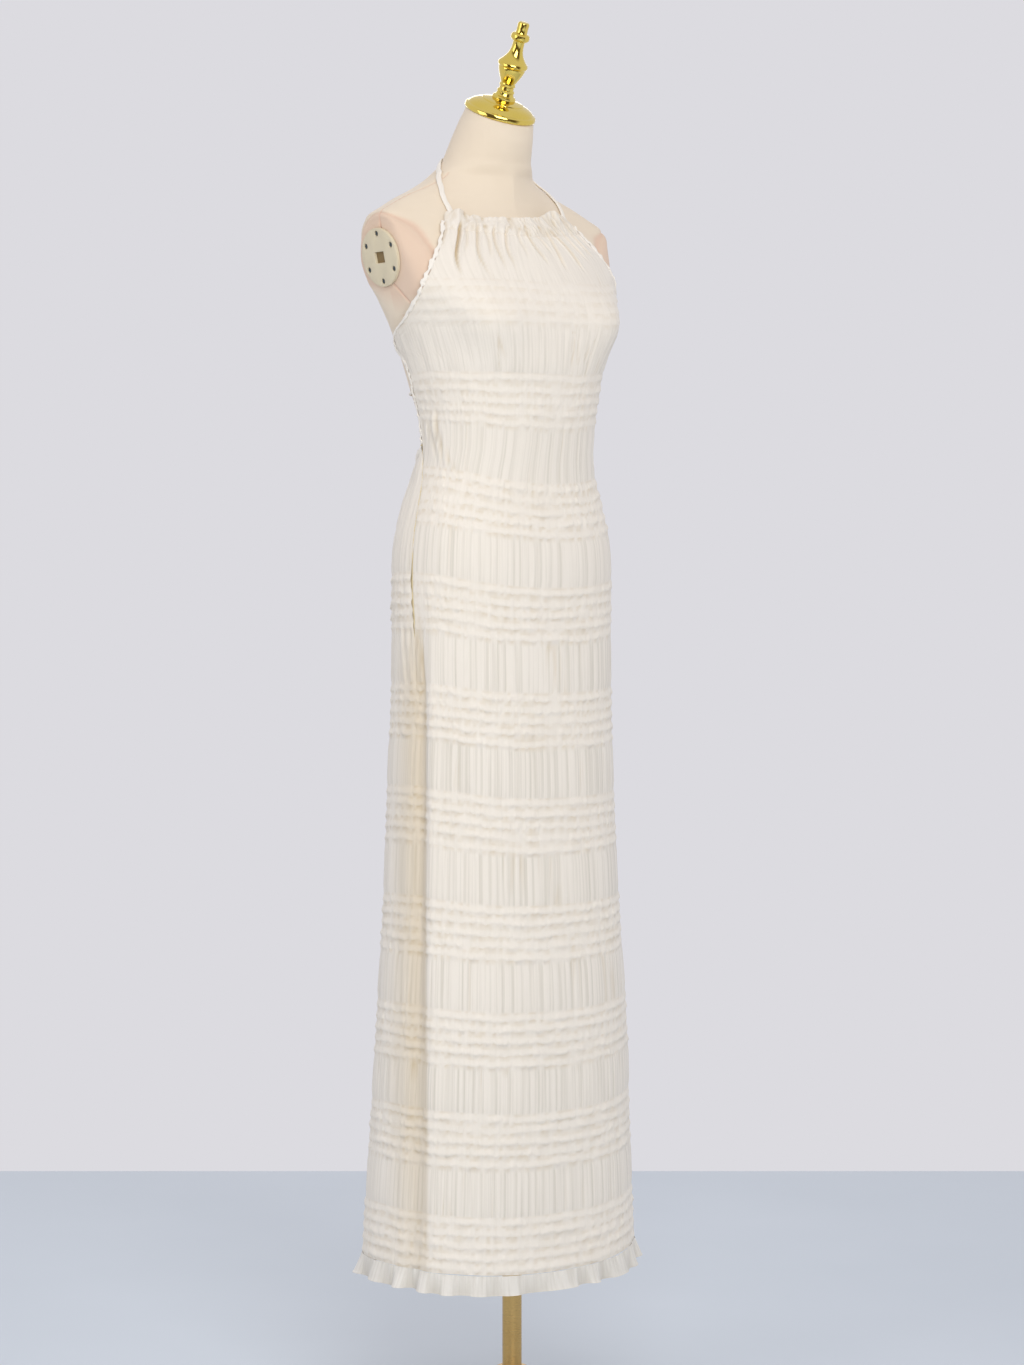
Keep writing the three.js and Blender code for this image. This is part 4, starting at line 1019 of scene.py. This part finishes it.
def place_casing(u, v):
    z = CASING_TOP_Z - v * (CASING_TOP_Z - CASING_LOW_Z)
    row = CASING_RINGS(z)
    s = 2 * u - 1
    t = s * reach_at(z)["reach"]
    a = t * MM_PER_DEGREE
    puckers = 1.3 * noise((a + 0.3 * (z - 1510)) / 5.6, z / 12, 97)
    puckers = puckers + 0.6 * noise((a - 0.4 * (z - 1510)) / 3.2, z / 7, 101)
    rim = ramp((1 - np.abs(s)) / 0.05)
    # Painted shade lies in the puckers' hollows, in the sunken dimples and in the yoke's folds.
    lumps, fold_shade = np.zeros(len(u)), 0.08 - 0.22 * puckers
    for at, up, wide, tall, high in CASING_LUMPS:
        lump = np.exp(-(((t - at) * MM_PER_DEGREE / wide) ** 2) - ((z - up) / tall) ** 2)
        lumps += high * lump
        fold_shade = fold_shade + (0.5 * lump if high < 0 else 0)
    rise, deep = yoke_folds(t, z)
    out = 0.4 + rim * (row["out"] + row["pucker"] * puckers) + lumps + 0.6 * rise
    points = dress_point(t, z, out)
    top_edge = np.interp(t, *zip(*CASING_TOP_EDGE)) - CASING_TOP_Z
    points[:, 2] += ramp((z - 1514) / 14) * (top_edge + 0.9 * noise(a / 4.6, 0, 103))
    return points, ramp(np.maximum(fold_shade, deep)), a, 0.2


casing = surface_piece("neck_casing_tube", 320, 44, place_casing, (0.36, 0.036))
clothe(casing, crinkled_chiffon, "neck_casing")

# Armhole bindings: narrow rolled edges of the same chiffon, stitched small and slightly frilled.
# They run from the casing's ends down the open sides to the waist.
for side, hand, seed in ((-1.0, "right", 107), (1.0, "left", 109)):
    z = np.linspace(CASING_FOOT_Z + 8, WAIST_Z + 0.5, 301)
    middle_t = side * seam_angle(side, z, SEAM_GAP / 2 + 2.3)
    path = directions(dress_point(middle_t, z, 0.3), dress_point(middle_t, z, 3.0))
    rolled_strip(f"armhole_binding_{hand}", f"binding_{hand}", 300, path, 2.3, 2.6, 1.5, seed, 14)

# Side zip: a narrow woven tape with a closed coil, sewn behind the right side seam.
# Only a ragged line of it shows, near its foot, where the seam's edges stand apart.
TAPE_WIDTH, COIL_PITCH = 18, 1.8
# Woven polyester: matt, with a thread of about 1 mm.
zip_tape = grained_finish("woven_zip_tape", "#DCC898", "#E8D8AE", 0.75, 1.0)


def place_zip(u, v):
    z = WAIST_Z - 1 - v * (WAIST_Z - 1 - ZIP_FOOT_Z + 12)
    middle = (SEAM_GAP + ZIP_WIDTH) / 2
    across = (u - 0.5) * TAPE_WIDTH
    reach = reach_at(z)["reach"]
    t = -(reach + degrees_for(middle + across, -reach, z))
    coil = bell(across / 1.1) * (0.7 + 0.3 * np.sign(np.sin(2 * np.pi * z / COIL_PITCH)))
    return dress_point(t, z, 0.3 + 1.6 * coil), 0.0, None, 0.0


zip_piece = surface_piece("side_zip_tape", 40, 400, place_zip, (0.018, 0.25))
clothe(zip_piece, zip_tape, "side_zip")

# Halter strap: a soft turned tube of the same chiffon, pressed flat and run through the casing.
# It leaves the casing's ends and lies on the form, round the back of the neck.
STRAP_PATH = [
    # degrees from the centre front, height
    (38, 1527), (42, 1535), (45, 1542), (49, 1549), (55, 1559), (63, 1569.5), (78, 1582), (92, 1590), (110, 1599),
    (128, 1605), (180, 1610),
]
strap_level = table(("t", "level"), STRAP_PATH)


def on_form(t, z):
    """A line on the form and points just outside it."""
    here = torso_point(t, z)
    along = torso_point(t + 0.5, z) - torso_point(t - 0.5, z)
    up = torso_point(t, z + 1.0) - torso_point(t, z - 1.0)
    outward = np.cross(along, up)
    outward /= np.linalg.norm(outward, axis=1)[:, None]
    return here + outward * 0.4, here + outward * 3


strap_start = 38.5
t = np.linspace(strap_start, 360 - strap_start, 401)
path = directions(*on_form(t, strap_level(np.minimum(t, 360 - t))["level"]))
rolled_strip("halter_neck_strap", "halter_strap", 400, path, 3.6, 2.9, 0.25, 113, 16)

# Back cords: two thin turned tubes of the same chiffon, one above the other across the open back.
# They lie on the form, and their ends are sewn behind the armhole bindings.
for z, row in ((1368, "upper"), (1309, "lower")):
    start = float(seam_angle(1.0, np.array([z], float), 3 * SEAM_GAP + 5)[0]) + 0.7
    t = np.linspace(start, 360 - start, 241)
    path = directions(*on_form(t, np.full(241, float(z))))
    rolled_strip(f"back_tie_{row}", f"back_cord_{row}", 240, path, 1.6, 3.2, 0.2, 127, 12)
